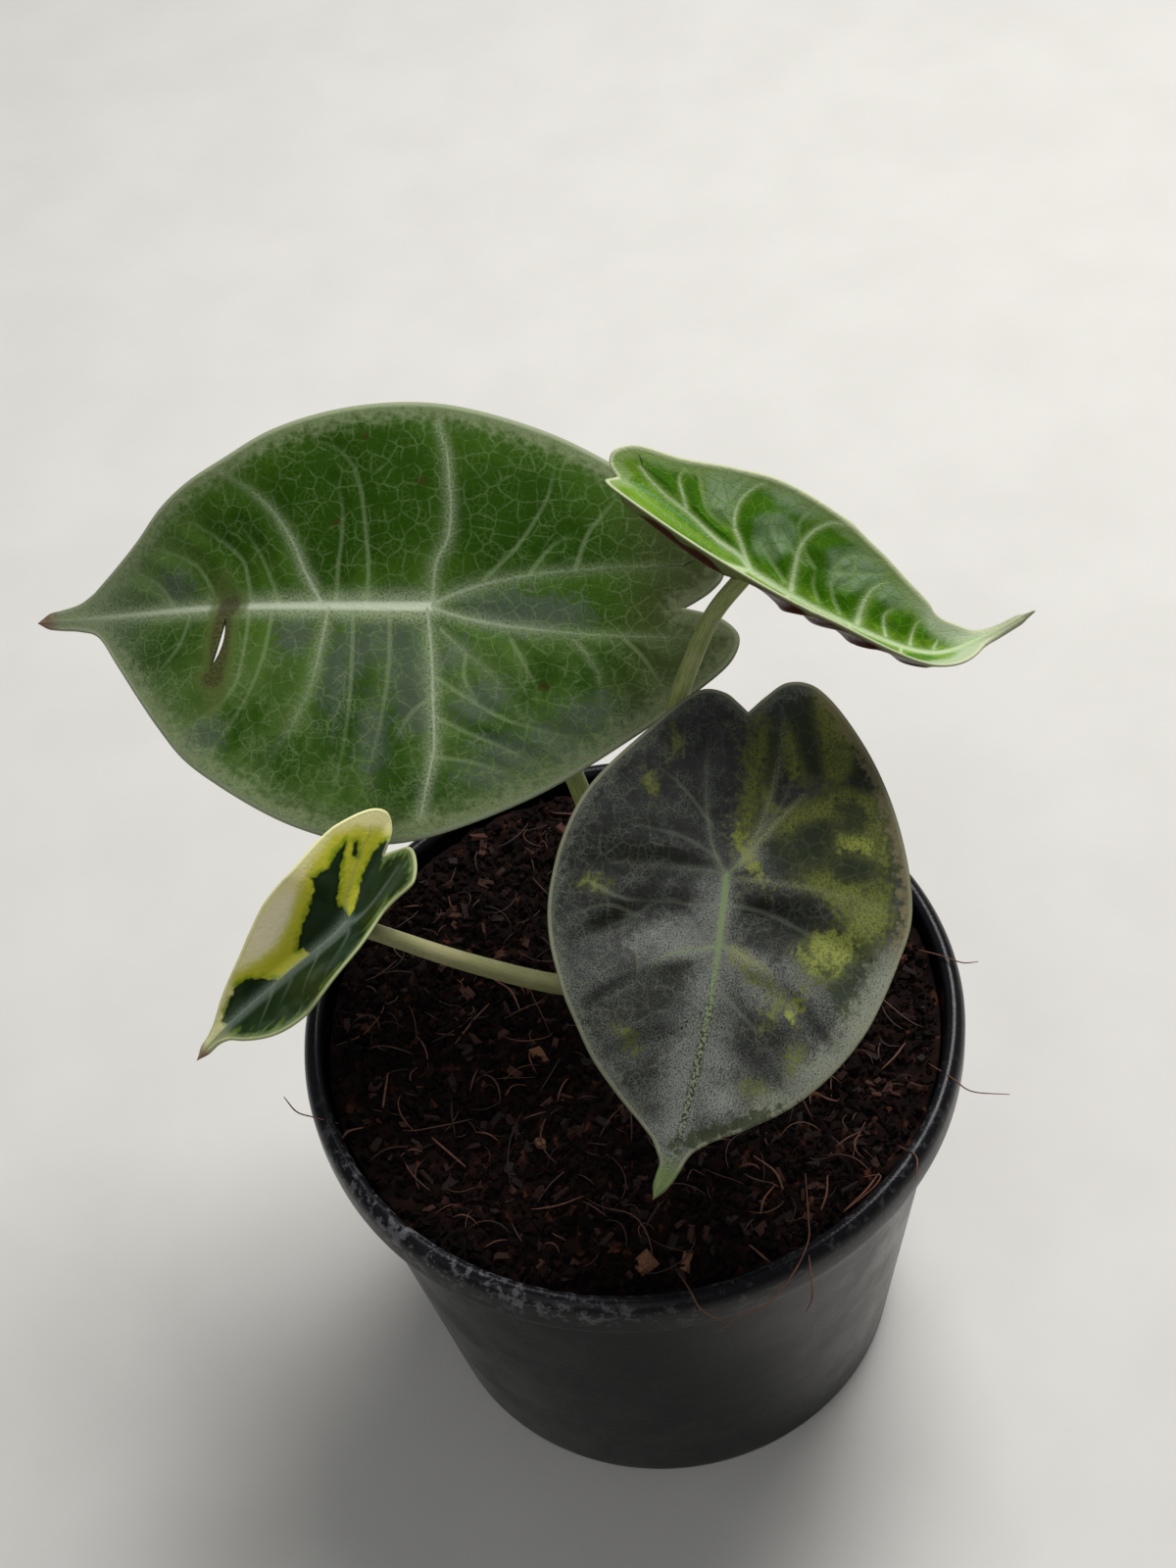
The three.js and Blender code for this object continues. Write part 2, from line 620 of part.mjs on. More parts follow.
// Chips of coir husk lie half sunk in the surface, joined to it.
function soilGeometry() {
  const random = seeded(7);
  let made = soilBody();
  for (let k = 0; k < CHIP_TRIES; k++) {
    const a = 2 * Math.PI * random();
    const r = lerp(...CHIP_FROM_MIDDLE, Math.sqrt(random()));
    const size = CHIP_LENGTH * (0.5 + 0.9 * random());
    const chip = new THREE.BoxGeometry(size, 0.45 * size, 0.5 * size);
    chip.rotateX(0.5 * (random() - 0.5));
    chip.rotateY(0.6 * (random() - 0.5));
    chip.rotateZ(2 * Math.PI * random());
    const [x, y] = [r * Math.cos(a), r * Math.sin(a)];
    chip.translate(x, y, soilHeight(x, y) + 0.05 * size);
    if (Math.hypot(x - STEM_TOP[0], y - STEM_TOP[1]) > CHIP_FROM_STEM) made = made.add(solid(chip));
  }
  return geometryOf(made.subtract(rootBall(GAP)));
}

// The tear in the large blade: a narrow pointed slot cut straight through it.
function tornBlade(leaf) {
  const { at, face } = leafPlacer(leaf)(...TEAR_AT);
  const ahead = leafPlacer(leaf)(TEAR_AT[0] + 1, TEAR_AT[1]).at.sub(at).normalize();
  const [half, wide] = [TEAR_LENGTH / 2, TEAR_WIDTH / 2];
  const slot = new THREE.Shape();
  slot.moveTo(-wide * 0.4, -half);
  slot.lineTo(wide * 0.7, -half * 0.4);
  slot.lineTo(wide, half * 0.3);
  slot.lineTo(0, half);
  slot.lineTo(-wide, half * 0.2);
  slot.lineTo(-wide * 0.8, -half * 0.5);
  slot.closePath();
  const cutter = new THREE.ExtrudeGeometry(slot, { depth: 8, bevelEnabled: false });
  cutter.translate(0, 0, -4);
  cutter.rotateZ(TEAR_LEAN);
  const side = face.clone().cross(ahead).normalize();
  cutter.applyMatrix4(new THREE.Matrix4().makeBasis(side.clone().cross(face), side, face));
  cutter.translate(at.x, at.y, at.z);
  return geometryOf(solid(bladeGeometry(leaf)).subtract(solid(cutter)));
}

function piece(name, geometry, colour, roughness) {
  geometry.computeVertexNormals();
  const material = new THREE.MeshStandardMaterial({ color: colour, roughness, metalness: 0 });
  const mesh = new THREE.Mesh(geometry, material);
  mesh.name = name;
  return mesh;
}

const plant = new THREE.Group();
plant.add(piece("nursery_pot", potGeometry(), 0x17181a, 0.42));
plant.add(piece("coir_soil", soilGeometry(), 0x3a241a, 0.95));
plant.add(piece("stem_with_roots", geometryOf(rootBall(0)), 0xa98f63, 0.7));
for (const [name, leaf] of Object.entries(LEAVES)) {
  const blade = name === "large" ? tornBlade(leaf) : bladeGeometry(leaf);
  plant.add(piece(name + "_leaf_blade", blade, leaf.colour, 0.45));
  plant.add(piece(name + "_leaf_stalk", stalkGeometry(leaf), 0xb7bf8c, 0.5));
}

export default plant;
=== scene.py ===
# %% [markdown]
# # A variegated alocasia in its nursery pot
# The plant is a young aroid house plant: four arrow-shaped leaves on thin stalks, growing out of a short
# stem in a black plastic pot of coir. The solid model already fixes every size. Its pieces could be
# kept and only coloured, but leaves are judged by their veins and edges, so here each one is made again
# as a finer surface on the same formula, and given the skin that the real one has.

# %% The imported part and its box
import math

import bpy
import numpy as np
from mathutils import Matrix


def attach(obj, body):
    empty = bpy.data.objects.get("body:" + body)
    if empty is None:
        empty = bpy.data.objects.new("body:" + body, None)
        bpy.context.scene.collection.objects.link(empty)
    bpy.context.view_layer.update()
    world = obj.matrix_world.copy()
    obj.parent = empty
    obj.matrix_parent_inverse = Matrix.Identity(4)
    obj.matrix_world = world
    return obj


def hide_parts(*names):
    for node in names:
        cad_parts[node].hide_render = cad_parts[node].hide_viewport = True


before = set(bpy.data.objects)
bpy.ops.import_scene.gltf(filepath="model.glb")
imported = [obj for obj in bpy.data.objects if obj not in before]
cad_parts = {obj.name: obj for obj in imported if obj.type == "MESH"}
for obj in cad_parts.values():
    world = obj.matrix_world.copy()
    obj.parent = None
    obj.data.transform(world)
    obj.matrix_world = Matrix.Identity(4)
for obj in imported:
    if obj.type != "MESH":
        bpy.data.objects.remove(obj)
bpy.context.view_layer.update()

print("nodes:", ", ".join(sorted(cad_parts)))

# %% [markdown]
# ## Helpers
# A material can be wired by hand in the shader editor, but then nobody can read or change it as text.
# Here every node comes from one small function, so a material reads as a list of its layers. A colour is
# written as the hex code that a paint chart gives, and turned to linear light once.

# %% Colours and nodes
def linear(code):
    """An sRGB hex colour as linear red, green, blue and alpha: the standard curve, channel by channel."""
    s = np.array([int(code[i : i + 2], 16) for i in (1, 3, 5)]) / 255
    return (*np.where(s <= 0.04045, s / 12.92, ((s + 0.055) / 1.055) ** 2.4), 1.0)


def add(tree, kind, wires=None, **settings):
    """Adds a node. A wire is a value, a hex colour, another node, or a node with the name of its output."""
    node = tree.nodes.new("ShaderNode" + kind)
    for name, value in settings.items():
        setattr(node, name, value)
    for place, value in (wires or {}).items():
        named = [s for s in node.inputs if s.enabled and s.name == place]
        socket = named[0] if named else node.inputs[place]
        if isinstance(value, bpy.types.Node):
            value = next(s for s in value.outputs if s.enabled)
        elif isinstance(value, tuple) and isinstance(value[0], bpy.types.Node):
            value = value[0].outputs[value[1]]
        if isinstance(value, bpy.types.NodeSocket):
            tree.links.new(value, socket)
        else:
            socket.default_value = linear(value) if isinstance(value, str) else value
    return node


def every(mm):
    """The scale of a pattern in Object coordinates, which are in metres, that repeats about every mm mm."""
    return 1000 / mm


def skin(name, **base):
    """A new material with its shader: the settings go straight to the shader's own sockets."""
    material = bpy.data.materials.new(name)
    material.use_nodes = True
    tree = material.node_tree
    shader = tree.nodes["Principled BSDF"]
    for socket, value in base.items():
        shader.inputs[socket.replace("_", " ")].default_value = value
    return material, tree, shader


def coloured(tree, facts, colour, layers):
    """Lays colours over each other, from below. A layer is a fact, the value of it where the layer begins
    to show, the value where it shows most, how much it covers there, and its colour. The step is smooth."""
    for fact, begins, most, covers, code in layers:
        wires = {"Value": facts[fact], "From Min": begins, "From Max": most, "To Max": covers}
        share = add(tree, "MapRange", wires, interpolation_type="SMOOTHSTEP")
        colour = add(tree, "Mix", {"Factor": share, "A": colour, "B": code}, data_type="RGBA")
    return colour


def masked(tree, facts, masks):
    """Makes new facts as products. A mask is a list of steps that all have to be true, each a fact with the
    value where it begins and the value where it is full."""
    for name, steps in masks.items():
        product = 1.0
        for fact, begins, full in steps:
            wires = {"Value": facts[fact], "From Min": begins, "From Max": full}
            step = add(tree, "MapRange", wires, interpolation_type="SMOOTHSTEP")
            product = add(tree, "Math", {0: step, 1: product}, operation="MULTIPLY")
        facts[name] = product


print("helpers ready")

# %% [markdown]
# ## From arrays to a mesh
# Blender can add points one by one, but a leaf has a hundred thousand. So each new piece is worked out in
# millimetres as whole arrays of points and triangles, which takes a second or two. Points that meet are
# made one, so that a shell closes along its seams, and triangles that have shrunk to a line go.

# %% Mesh from arrays
def closed(points, triangles, **values):
    """Makes points one that agree to a thousandth of a millimetre, and drops triangles that collapse."""
    _, first, inverse = np.unique(np.round(points, 3), axis=0, return_index=True, return_inverse=True)
    t = inverse.reshape(-1)[triangles]
    whole = (t[:, 0] != t[:, 1]) & (t[:, 1] != t[:, 2]) & (t[:, 0] != t[:, 2])
    return points[first], t[whole], {name: v[first] for name, v in values.items()}


def piece(name, points, triangles, values=None, material=None, smooth=True):
    """Puts millimetre points and triangles into a mesh, with a number or vector for each point by name."""
    mesh = bpy.data.meshes.new(name)
    mesh.vertices.add(len(points))
    mesh.vertices.foreach_set("co", (points / 1000).ravel())
    mesh.loops.add(3 * len(triangles))
    mesh.loops.foreach_set("vertex_index", triangles.ravel())
    mesh.polygons.add(len(triangles))
    mesh.polygons.foreach_set("loop_start", np.arange(0, 3 * len(triangles), 3))
    mesh.update(calc_edges=True)
    for key, v in (values or {}).items():
        vector = v.ndim == 2
        attribute = mesh.attributes.new(key, "FLOAT_VECTOR" if vector else "FLOAT", "POINT")
        attribute.data.foreach_set("vector" if vector else "value", v.astype(np.float32).ravel())
    mesh.polygons.foreach_set("use_smooth", np.full(len(triangles), smooth))
    made = bpy.data.objects.new(name, mesh)
    bpy.context.scene.collection.objects.link(made)
    if material:
        mesh.materials.append(material)
    print(f"{name}: {len(triangles)} triangles")
    return made


def grid_triangles(rows, columns, around=False, flip=False):
    """Two triangles for each cell of a grid of points; around joins the last column to the first."""
    r, c = np.meshgrid(np.arange(rows - 1), np.arange(columns if around else columns - 1), indexing="ij")
    r, c = r.ravel(), c.ravel()
    n = (c + 1) % columns
    a, b, d, e = r * columns + c, (r + 1) * columns + c, (r + 1) * columns + n, r * columns + n
    t = np.concatenate([np.stack([a, b, d], 1), np.stack([a, d, e], 1)])
    return t[:, ::-1] if flip else t


def unit(v):
    return v / np.linalg.norm(v, axis=-1, keepdims=True)


def smooth(x):
    """The smooth step of a number clamped to 0 to 1: three times its square less twice its cube."""
    x = np.clip(x, 0, 1)
    return x * x * (3 - 2 * x)


def away(points, line):
    """Distance of each flat point from a line of points, how far along the line that is, 0 to 1, and on
    which side of it the point lies, 1 or -1."""
    a, b = line[:-1], line[1:]
    step = b - a
    size = np.maximum((step**2).sum(1), 1e-9)
    share = np.clip(((points[:, None] - a) * step).sum(2) / size, 0, 1)
    gaps = np.linalg.norm(points[:, None] - a - share[..., None] * step, axis=2)
    nearest = gaps.argmin(1)
    pick = np.arange(len(points))
    lengths = np.r_[0, np.cumsum(np.sqrt(size))]
    along = lengths[nearest] + share[pick, nearest] * np.sqrt(size[nearest])
    (u, v), (x, y) = step[nearest].T, (points - a[nearest]).T
    return gaps[pick, nearest], along / lengths[-1], np.where(u * y - v * x < 0, -1, 1)


print("mesh tools ready")

# %% [markdown]
# ## A smooth curve through points
# Leaf midribs, leaf margins and stalks are all curves through a few points. Bezier handles would have
# to be set one by one. A centripetal Catmull-Rom curve needs none, and never loops where points lie
# close together. The solid model uses it too, so the fine surfaces lie on the solid ones.

# %% Curves
def through(points, t):
    """Centripetal Catmull-Rom: a cubic between each two points, whose slopes weigh the neighbouring chords
    by the square root of their length. t goes from 0 to 1 and gives each stretch the same share."""
    p = np.asarray(points, float)
    place = (len(p) - 1) * np.clip(t, 0, 1)
    i = np.minimum(np.floor(place).astype(int), len(p) - 2)
    w = (place - i)[..., None]
    q = np.vstack([2 * p[0] - p[1], p, 2 * p[-1] - p[-2]])
    a, b, c, d = q[i], q[i + 1], q[i + 2], q[i + 3]
    ab, bc, cd = [((v - u) ** 2).sum(-1)[..., None] ** 0.25 for u, v in ((a, b), (b, c), (c, d))]
    bc = np.where(bc < 1e-4, 1, bc)
    ab, cd = np.where(ab < 1e-4, bc, ab), np.where(cd < 1e-4, bc, cd)
    out = ((b - a) / ab - (c - a) / (ab + bc) + (c - b) / bc) * bc
    into = ((c - b) / bc - (d - b) / (bc + cd) + (d - c) / cd) * bc
    return b + out * w + (3 * (c - b) - 2 * out - into) * w**2 + (2 * (b - c) + out + into) * w**3


def heading(points, t):
    """Unit direction of that curve, from two places close on either side."""
    return unit(through(points, np.clip(t + 1e-4, 0, 1)) - through(points, np.clip(t - 1e-4, 0, 1)))


def looking(azimuth, elevation):
    a, e = math.radians(azimuth), math.radians(elevation)
    return np.array([math.cos(e) * math.cos(a), math.cos(e) * math.sin(a), math.sin(e)])


def bent(angle, bend, length):
    """Where an arc ends that starts at an angle and bends at a steady rate: sideways and up."""
    bend = np.where(np.abs(bend) < 1e-6, 1e-6, bend)
    end = angle + bend * length
    return (np.sin(end) - np.sin(angle)) / bend, (np.cos(angle) - np.cos(end)) / bend


print("curve through three points, halfway:", through([[0, 0], [10, 5], [20, 0]], np.array([0.5]))[0])

# %% [markdown]
# ## The four leaves, drawn flat
# A leaf could be sculpted in place, but then its veins lose their true lengths. It is drawn flat first,
# as on squared paper: along is millimetres from the stalk towards the tip, across is millimetres from the
# midrib. Each row is one side vein, by its foot on the midrib and its two ends on the margin. Rows after
# the hub leave the two basal veins that run out into the lobes. The spine then bends the midrib through
# space, and each half folds up from it and goes on curling.

# %% Leaf shapes
leaves = {
    "large": dict(
        size=1.045, facing=(-94, 58), tip_facing=(-108, 59), hinge=4, tip=84.6, notch=-45,
        spine=[(20, 38, 171), (-26, 46, 172.5), (-63, 55.5, 170), (-92.5, 68.5, 159), (-105.5, 76, 152.5)],
        left=dict(fold=(4, 6, 8), curl=(-0.006, -0.004, 0), basal=(-47, 5.5)),
        right=dict(fold=(4, 6, 8), curl=(-0.006, -0.004, 0), basal=(-45, -7.5)),
        midrib_rows=[
            (81, (81, 1), (81.5, -1.5)), (77, (77, 1.5), (78, -2)), (72, (72, 2), (72.5, -3)),
            (66, (67, 3.5), (68, -5.5)), (58, (60.5, 9.5), (62, -9.5)), (49, (54, 16.5), (57, -13.5)),
            (40, (49, 22), (51.5, -19)), (30, (42.5, 28.5), (46, -23)), (20, (33, 34.5), (39.5, -26.5)),
            (13, (21, 40), (29, -32)), (6, (9.5, 42.5), (14.5, -36)), (0, (0, 41.5), (0, -36.5)),
        ],
        basal_rows=[
            (0.35, (-19, 34), (-20, -31.5)), (0.65, (-35, 24), (-35.5, -23.5)),
            (0.9, (-46.5, 15.5), (-46, -16)), (1, (-53.5, 9), (-51.5, -9.5)),
            (0.9, (-54.5, 5), (-51.5, -5.5)), (0.65, (-52, 2.2), (-49.5, -3)),
            (0.35, (-48.5, 0.8), (-47, -1.2)),
        ],
    ),
    "folded": dict(
        size=1, facing=(-52, 78), tip_facing=(-52, 78), hinge=3, tip=54.5, notch=-28,
        spine=[(11.5, 40, 203.5), (31, 24, 193), (44.5, 16, 186.5), (60.5, 9.5, 181), (70, 11, 181.5),
               (79.5, 13.5, 184)],
        left=dict(fold=(34, 34, 34), curl=(0.02, 0.02, 0.02), basal=(-26, 4.5)),
        right=dict(fold=(49, 46, 48), curl=(0.03, 0.03, 0.03), basal=(-24, -4.5)),
        midrib_rows=[
            (51.5, (51.5, 0.5), (51.5, -0.5)), (47.5, (47.5, 0.8), (47.5, -0.8)),
            (44, (44, 1.7), (44, -1.6)), (40, (40.5, 4.6), (40.5, -4.6)), (35, (35.5, 7.6), (35.5, -8.6)),
            (29, (30.5, 9.6), (30.5, -12.5)), (22, (25.5, 11.5), (26, -15)), (15, (19, 14.2), (19.5, -17)),
            (8, (11, 16.4), (11.5, -18)), (0, (-4, 16.4), (-3, -18)),
        ],
        basal_rows=[
            (0.4, (-13, 13.3), (-13, -15)), (0.75, (-21, 9.3), (-20.5, -11.3)), (1, (-29, 6.2), (-26, -8)),
            (0.75, (-31.3, 3.3), (-28.3, -5)), (0.4, (-30.5, 1.3), (-29, -2.3)),
        ],
    ),
    "grey": dict(
        size=0.955, facing=(-91, 53), tip_facing=(-96, 48), hinge=4, tip=60, notch=-30.5,
        spine=[(28, 9.5, 172.5), (20, -15.5, 159.5), (14, -33.5, 148.5), (4.5, -53, 134.5),
               (-0.5, -60, 130.5)],
        left=dict(fold=(2, 5, 12), curl=(-0.004, -0.006, 0), basal=(-28, 7)),
        right=dict(fold=(2, 5, 12), curl=(-0.004, -0.006, 0), basal=(-25, -6.5)),
        midrib_rows=[
            (57, (56.5, 1.5), (56.5, -1)), (54, (53.5, 2), (53.5, -1.5)), (51, (51, 2.5), (51.5, -3)),
            (46, (47, 5.5), (47.5, -7)), (39, (42.5, 11.5), (42.5, -13)), (30, (37, 18.5), (37, -19)),
            (21, (31, 24), (32, -23)), (12, (24.5, 28), (26, -27)), (5, (13.5, 32), (16, -30.5)),
            (0, (3, 34), (5, -31.5)),
        ],
        basal_rows=[
            (0.4, (-13, 30), (-11, -28)), (0.75, (-27, 22), (-24, -18.5)), (1, (-37, 11.5), (-33.5, -9)),
            (0.75, (-37, 6.5), (-33.5, -4.5)), (0.4, (-34, 3), (-32, -2)),
        ],
    ),
    "small": dict(
        size=0.962, facing=(-96, 65), tip_facing=(-96, 65), hinge=3, tip=38, notch=-14.5,
        spine=[(-40, 4.5, 153.5), (-48.5, -4, 146.5), (-60.5, -9.5, 141), (-73.5, -16.5, 136),
               (-78.5, -20, 133.5)],
        left=dict(fold=(42, 60, 42), curl=(0, 0, 0), basal=(-14, 5.5)),
        right=dict(fold=(45, 48, 50), curl=(0, 0, 0), basal=(-17, -5)),
        midrib_rows=[
            (35.5, (35.5, 0.6), (35.5, -0.6)), (33, (33, 1), (33, -1)), (30, (31, 2.5), (30, -2.5)),
            (25, (28, 6.5), (25.5, -5.5)), (19, (23.5, 11), (20.5, -8.5)), (12, (17.5, 14), (15, -11.5)),
            (6, (10, 16), (8, -15)), (0, (1.5, 14), (-2, -16)),
        ],
        basal_rows=[
            (0.4, (-5.5, 10.5), (-9.5, -14.5)), (0.75, (-13, 12.5), (-15.5, -11.5)),
            (1, (-17.5, 7.5), (-21, -6.5)), (0.75, (-18, 4.5), (-21.5, -3.5)), (0.4, (-16.5, 2), (-19, -1)),
        ],
    ),
}
for name, leaf in leaves.items():
    print(f"{name} leaf: {leaf['tip'] - leaf['basal_rows'][2][1][0]:.0f} mm from lobe to tip, laid flat")

# %% [markdown]
# ## The veins
# The veins are what tells this plant from its relatives. A branching rule could grow them, but no leaf
# follows a rule that closely, so each larger one is placed where the real leaf has it, as a line of flat
# points. A strong vein is given by its half-breadth in millimetres, by how far its silver glow reaches,
# by its strength at its foot and at its end, and by its line. Weak ones are thin lines between them. The
# net of finest veins is left to the material.

# %% Vein lines
veins = {
    "large": dict(
        midrib=(1.2, 3.4, (1.0, 0.4)), basal=(0.6, 3.0, (0.55, 0.3)),
        strong=[
            (0.5, 2.8, (0.5, 0.5),
             [(-0.5, 0), (-1, -8), (-3, -12), (-3.5, -17.5), (-3, -22.5), (-2.5, -27), (-0.5, -33)]),
            (0.5, 2.4, (0.65, 0.35), [(19, 0), (22.5, -6), (24.5, -10.5), (28, -16), (32, -20), (38, -24)]),
            (0.5, 3.0, (0.55, 0.6), [(0.5, 0), (-1, 11), (-1.5, 18), (-2, 25), (-1, 32), (0, 38)]),
            (0.5, 2.6, (0.55, 0.25), [(18, 0), (19, 8.5), (20, 14.5), (22.5, 21), (25.5, 26.5), (29, 32)]),
            (0.4, 2.0, (0.45, 0.2), [(-2, 4), (-7, 8.5), (-11.5, 12), (-15, 16.5), (-18.5, 20.5)]),
            (0.4, 1.8, (0.4, 0.3), [(-26, 6), (-28.5, 9), (-30.5, 12.5), (-31, 18)]),
        ],
        weak=[
            [(11, 0), (11, -7), (11.5, -12), (12.5, -19), (14, -24.5), (17, -28), (22, -30)],
            [(16.5, 0), (16.5, -7), (16, -12), (16, -17.5), (17, -22)],
            [(33, -1), (34.5, -8), (37.5, -11), (41, -13.5), (45, -16)], [(27, 0), (31, -9), (34.5, -14)],
            [(39, 0), (43.5, -7.5), (47.5, -10), (53, -12)], [(48, 0), (52, -5), (57, -8)],
            [(-26, -7), (-28, -13), (-30.5, -16.5), (-34, -21)],
            [(-10, -5), (-15.5, -10.5), (-18.5, -15), (-21, -20), (-22, -26)],
            [(-18, -6), (-21.5, -10.5), (-25, -13)], [(7, 0), (6.5, 11), (7, 18), (8, 25), (10, 33)],
            [(13.5, 0), (13, 11), (13, 18), (13.5, 25), (15, 34)],
            [(28.5, 0), (29.5, 9), (31, 14.5), (34, 21), (38, 27)],
            [(33, 0), (34.5, 14.5), (37, 18), (43, 22)], [(45, 0), (47, 7), (52, 13)],
            [(-35, 6), (-38, 9), (-42, 15)], [(-15, 6), (-17.5, 10.5), (-20, 15)],
            [(-2, 13), (-10, 18), (-15, 20.5), (-20.5, 22), (-27, 23.5)],
            [(-2, 20), (-8.5, 23), (-13.5, 25), (-20, 28)], [(-2, 16), (2, 19), (5, 25)],
            [(-2, 27), (-9, 28), (-16, 30)], [(-7, 9), (-7, 13), (-10, 18)],
        ],
    ),
    "folded": dict(
        midrib=(1.0, 1.4, (0.75, 0.8)), basal=(0.6, 1.0, (0.9, 0.8)),
        left_basal=[(0, 0.4), (-3, 1.5), (-7.5, 1.5), (-11.5, 2), (-15, 2.5), (-19.5, 2.6), (-23.5, 3.2),
                    (-26, 4)],
        strong=[
            (0.6, 0.9, (0.9, 0.8),
             [(0, 0.5), (-4, 3.5), (-7, 5.5), (-8.5, 8.5), (-8.5, 11), (-7.5, 13.5), (-6.5, 14.5)]),
            (0.45, 0.7, (0.8, 0.6), [(-15.5, 3), (-18, 5), (-19.5, 6.5), (-19.5, 8.5)]),
            (0.65, 1.1, (0.9, 0.8),
             [(8, 1), (6.5, 5), (5.5, 8), (5.5, 10.5), (6.5, 13), (8.5, 15), (12, 16)]),
            (0.65, 1.2, (0.95, 0.7), [(21, 1), (20.5, 5), (21, 8), (22.5, 10)]),
            (0.4, 0.7, (0.9, 0.6), [(26, 1), (24.5, 4.5), (25.5, 6)]),
            (0.4, 0.7, (0.9, 0.6), [(30.5, 1), (30.5, 4.5), (31.5, 6)]),
            (0.35, 0.6, (0.8, 0.5), [(35.5, 1), (37, 3.5)]),
            (0.6, 1.0, (0.9, 0.7), [(0, 0), (-3, -5), (-3, -10), (-1, -16)]),
            (0.6, 1.0, (0.9, 0.7), [(8, 0), (8, -6), (9, -12), (12, -17)]),
            (0.6, 1.0, (0.9, 0.7), [(20, 0), (21, -6), (24, -13)]),
            (0.4, 0.7, (0.8, 0.5), [(29, 0), (30, -5), (33, -9)]),
        ],
        weak=[
            [(-17.5, 9.5), (-15, 7), (-12.5, 5), (-9.5, 4.5), (-6.5, 5)], [(6, 2), (2, 4), (-1.5, 6)],
            [(17.5, 1.5), (15, 4), (13.5, 7), (13.5, 10), (16, 12), (19.5, 13)],
            [(13, 7.5), (18.5, 9.5), (22, 11.5)], [(7.5, 6.5), (4.5, 7.5), (2, 9)],
            [(13, 2), (11, 4), (10, 6.5)], [(16, 12), (17, 8), (15, 5)], [(-15, 13), (-13, 9), (-12.5, 5)],
            [(-10, 14.5), (-10.5, 10), (-8.5, 8)], [(14, 0), (14, -8), (17, -15)], [(-10, -4), (-12, -10)],
            [(4, 17), (3, 12), (5.5, 9)], [(10, 6.5), (7, 8), (5.5, 10)],
        ],
    ),
    "grey": dict(
        midrib=(0.9, 1.6, (0.9, 0.5)), basal=(0.5, 1.8, (0.55, 0.3)),
        strong=[
            (0.4, 1.6, (0.45, 0.25), [(0.5, 0), (0.5, 3.5), (0.5, 12.5), (1, 19.5), (2, 28.5)]),
            (0.5, 1.7, (0.75, 0.55), [(12.5, 0), (15.5, 7), (18.5, 11), (22, 15)]),
            (0.4, 1.7, (0.45, 0.2), [(-0.5, -1.5), (0, -7.5), (0.5, -16.5), (1, -25.5)]),
            (0.5, 2.2, (0.8, 0.35), [(13, 0), (14, -3), (16, -9), (22, -14.5), (26, -19)]),
            (0.4, 2.0, (0.4, 0.2), [(24, 0), (30.5, -6.5), (33, -11.5)]),
            (0.4, 1.6, (0.7, 0.4), [(-2, 2), (-7, 5), (-12, 8.5), (-16.5, 12)]),
        ],
        weak=[
            [(5, 0), (6, -6), (6, -11.5), (9, -15.5), (13, -22)], [(20, 0), (24.5, 6), (28, 11.5)],
            [(35, 0), (37.5, 4), (38.5, 8)], [(20, -14), (12.5, -15), (10, -13.5)],
            [(5, 0), (6, 8), (9, 16), (12, 24)], [(-9, 5), (-14, 8), (-20, 10)],
            [(-9, -4), (-15, -10), (-19, -16)], [(-3, -2), (-6, -9), (-7, -18)],
            [(9, -15.5), (8, -21), (10, -26)], [(4.5, -24), (6.5, -18), (6, -11.5)],
        ],
    ),
    "small": dict(
        midrib=(0.5, 2.0, (0.75, 0.6)), basal=(0.4, 1.4, (0.5, 0.3)),
        strong=[(0.3, 1.3, (0.4, 0.2), [(0, 0), (2, 5), (6, 9), (8, 12)]),
                (0.3, 1.0, (0.4, 0.1), [(13, 0), (17, 4), (22, 8)])],
        weak=[[(7, 0), (11, 5), (14, 9)], [(18, 0), (21, 3), (24, 6)]],
    ),
}
for name, lines in veins.items():
    print(f"{name} leaf: {len(lines['strong'])} strong and {len(lines['weak'])} weak side veins")

# %% [markdown]
# ## Bending the flat drawing
# A real blade bends without stretching. A Curve or a Lattice modifier would stretch it at every turn.
# Here a point of the drawing is carried along the spine, then out along its half, which turns up at the
# hinge and goes on curling, and each step keeps its length in millimetres.

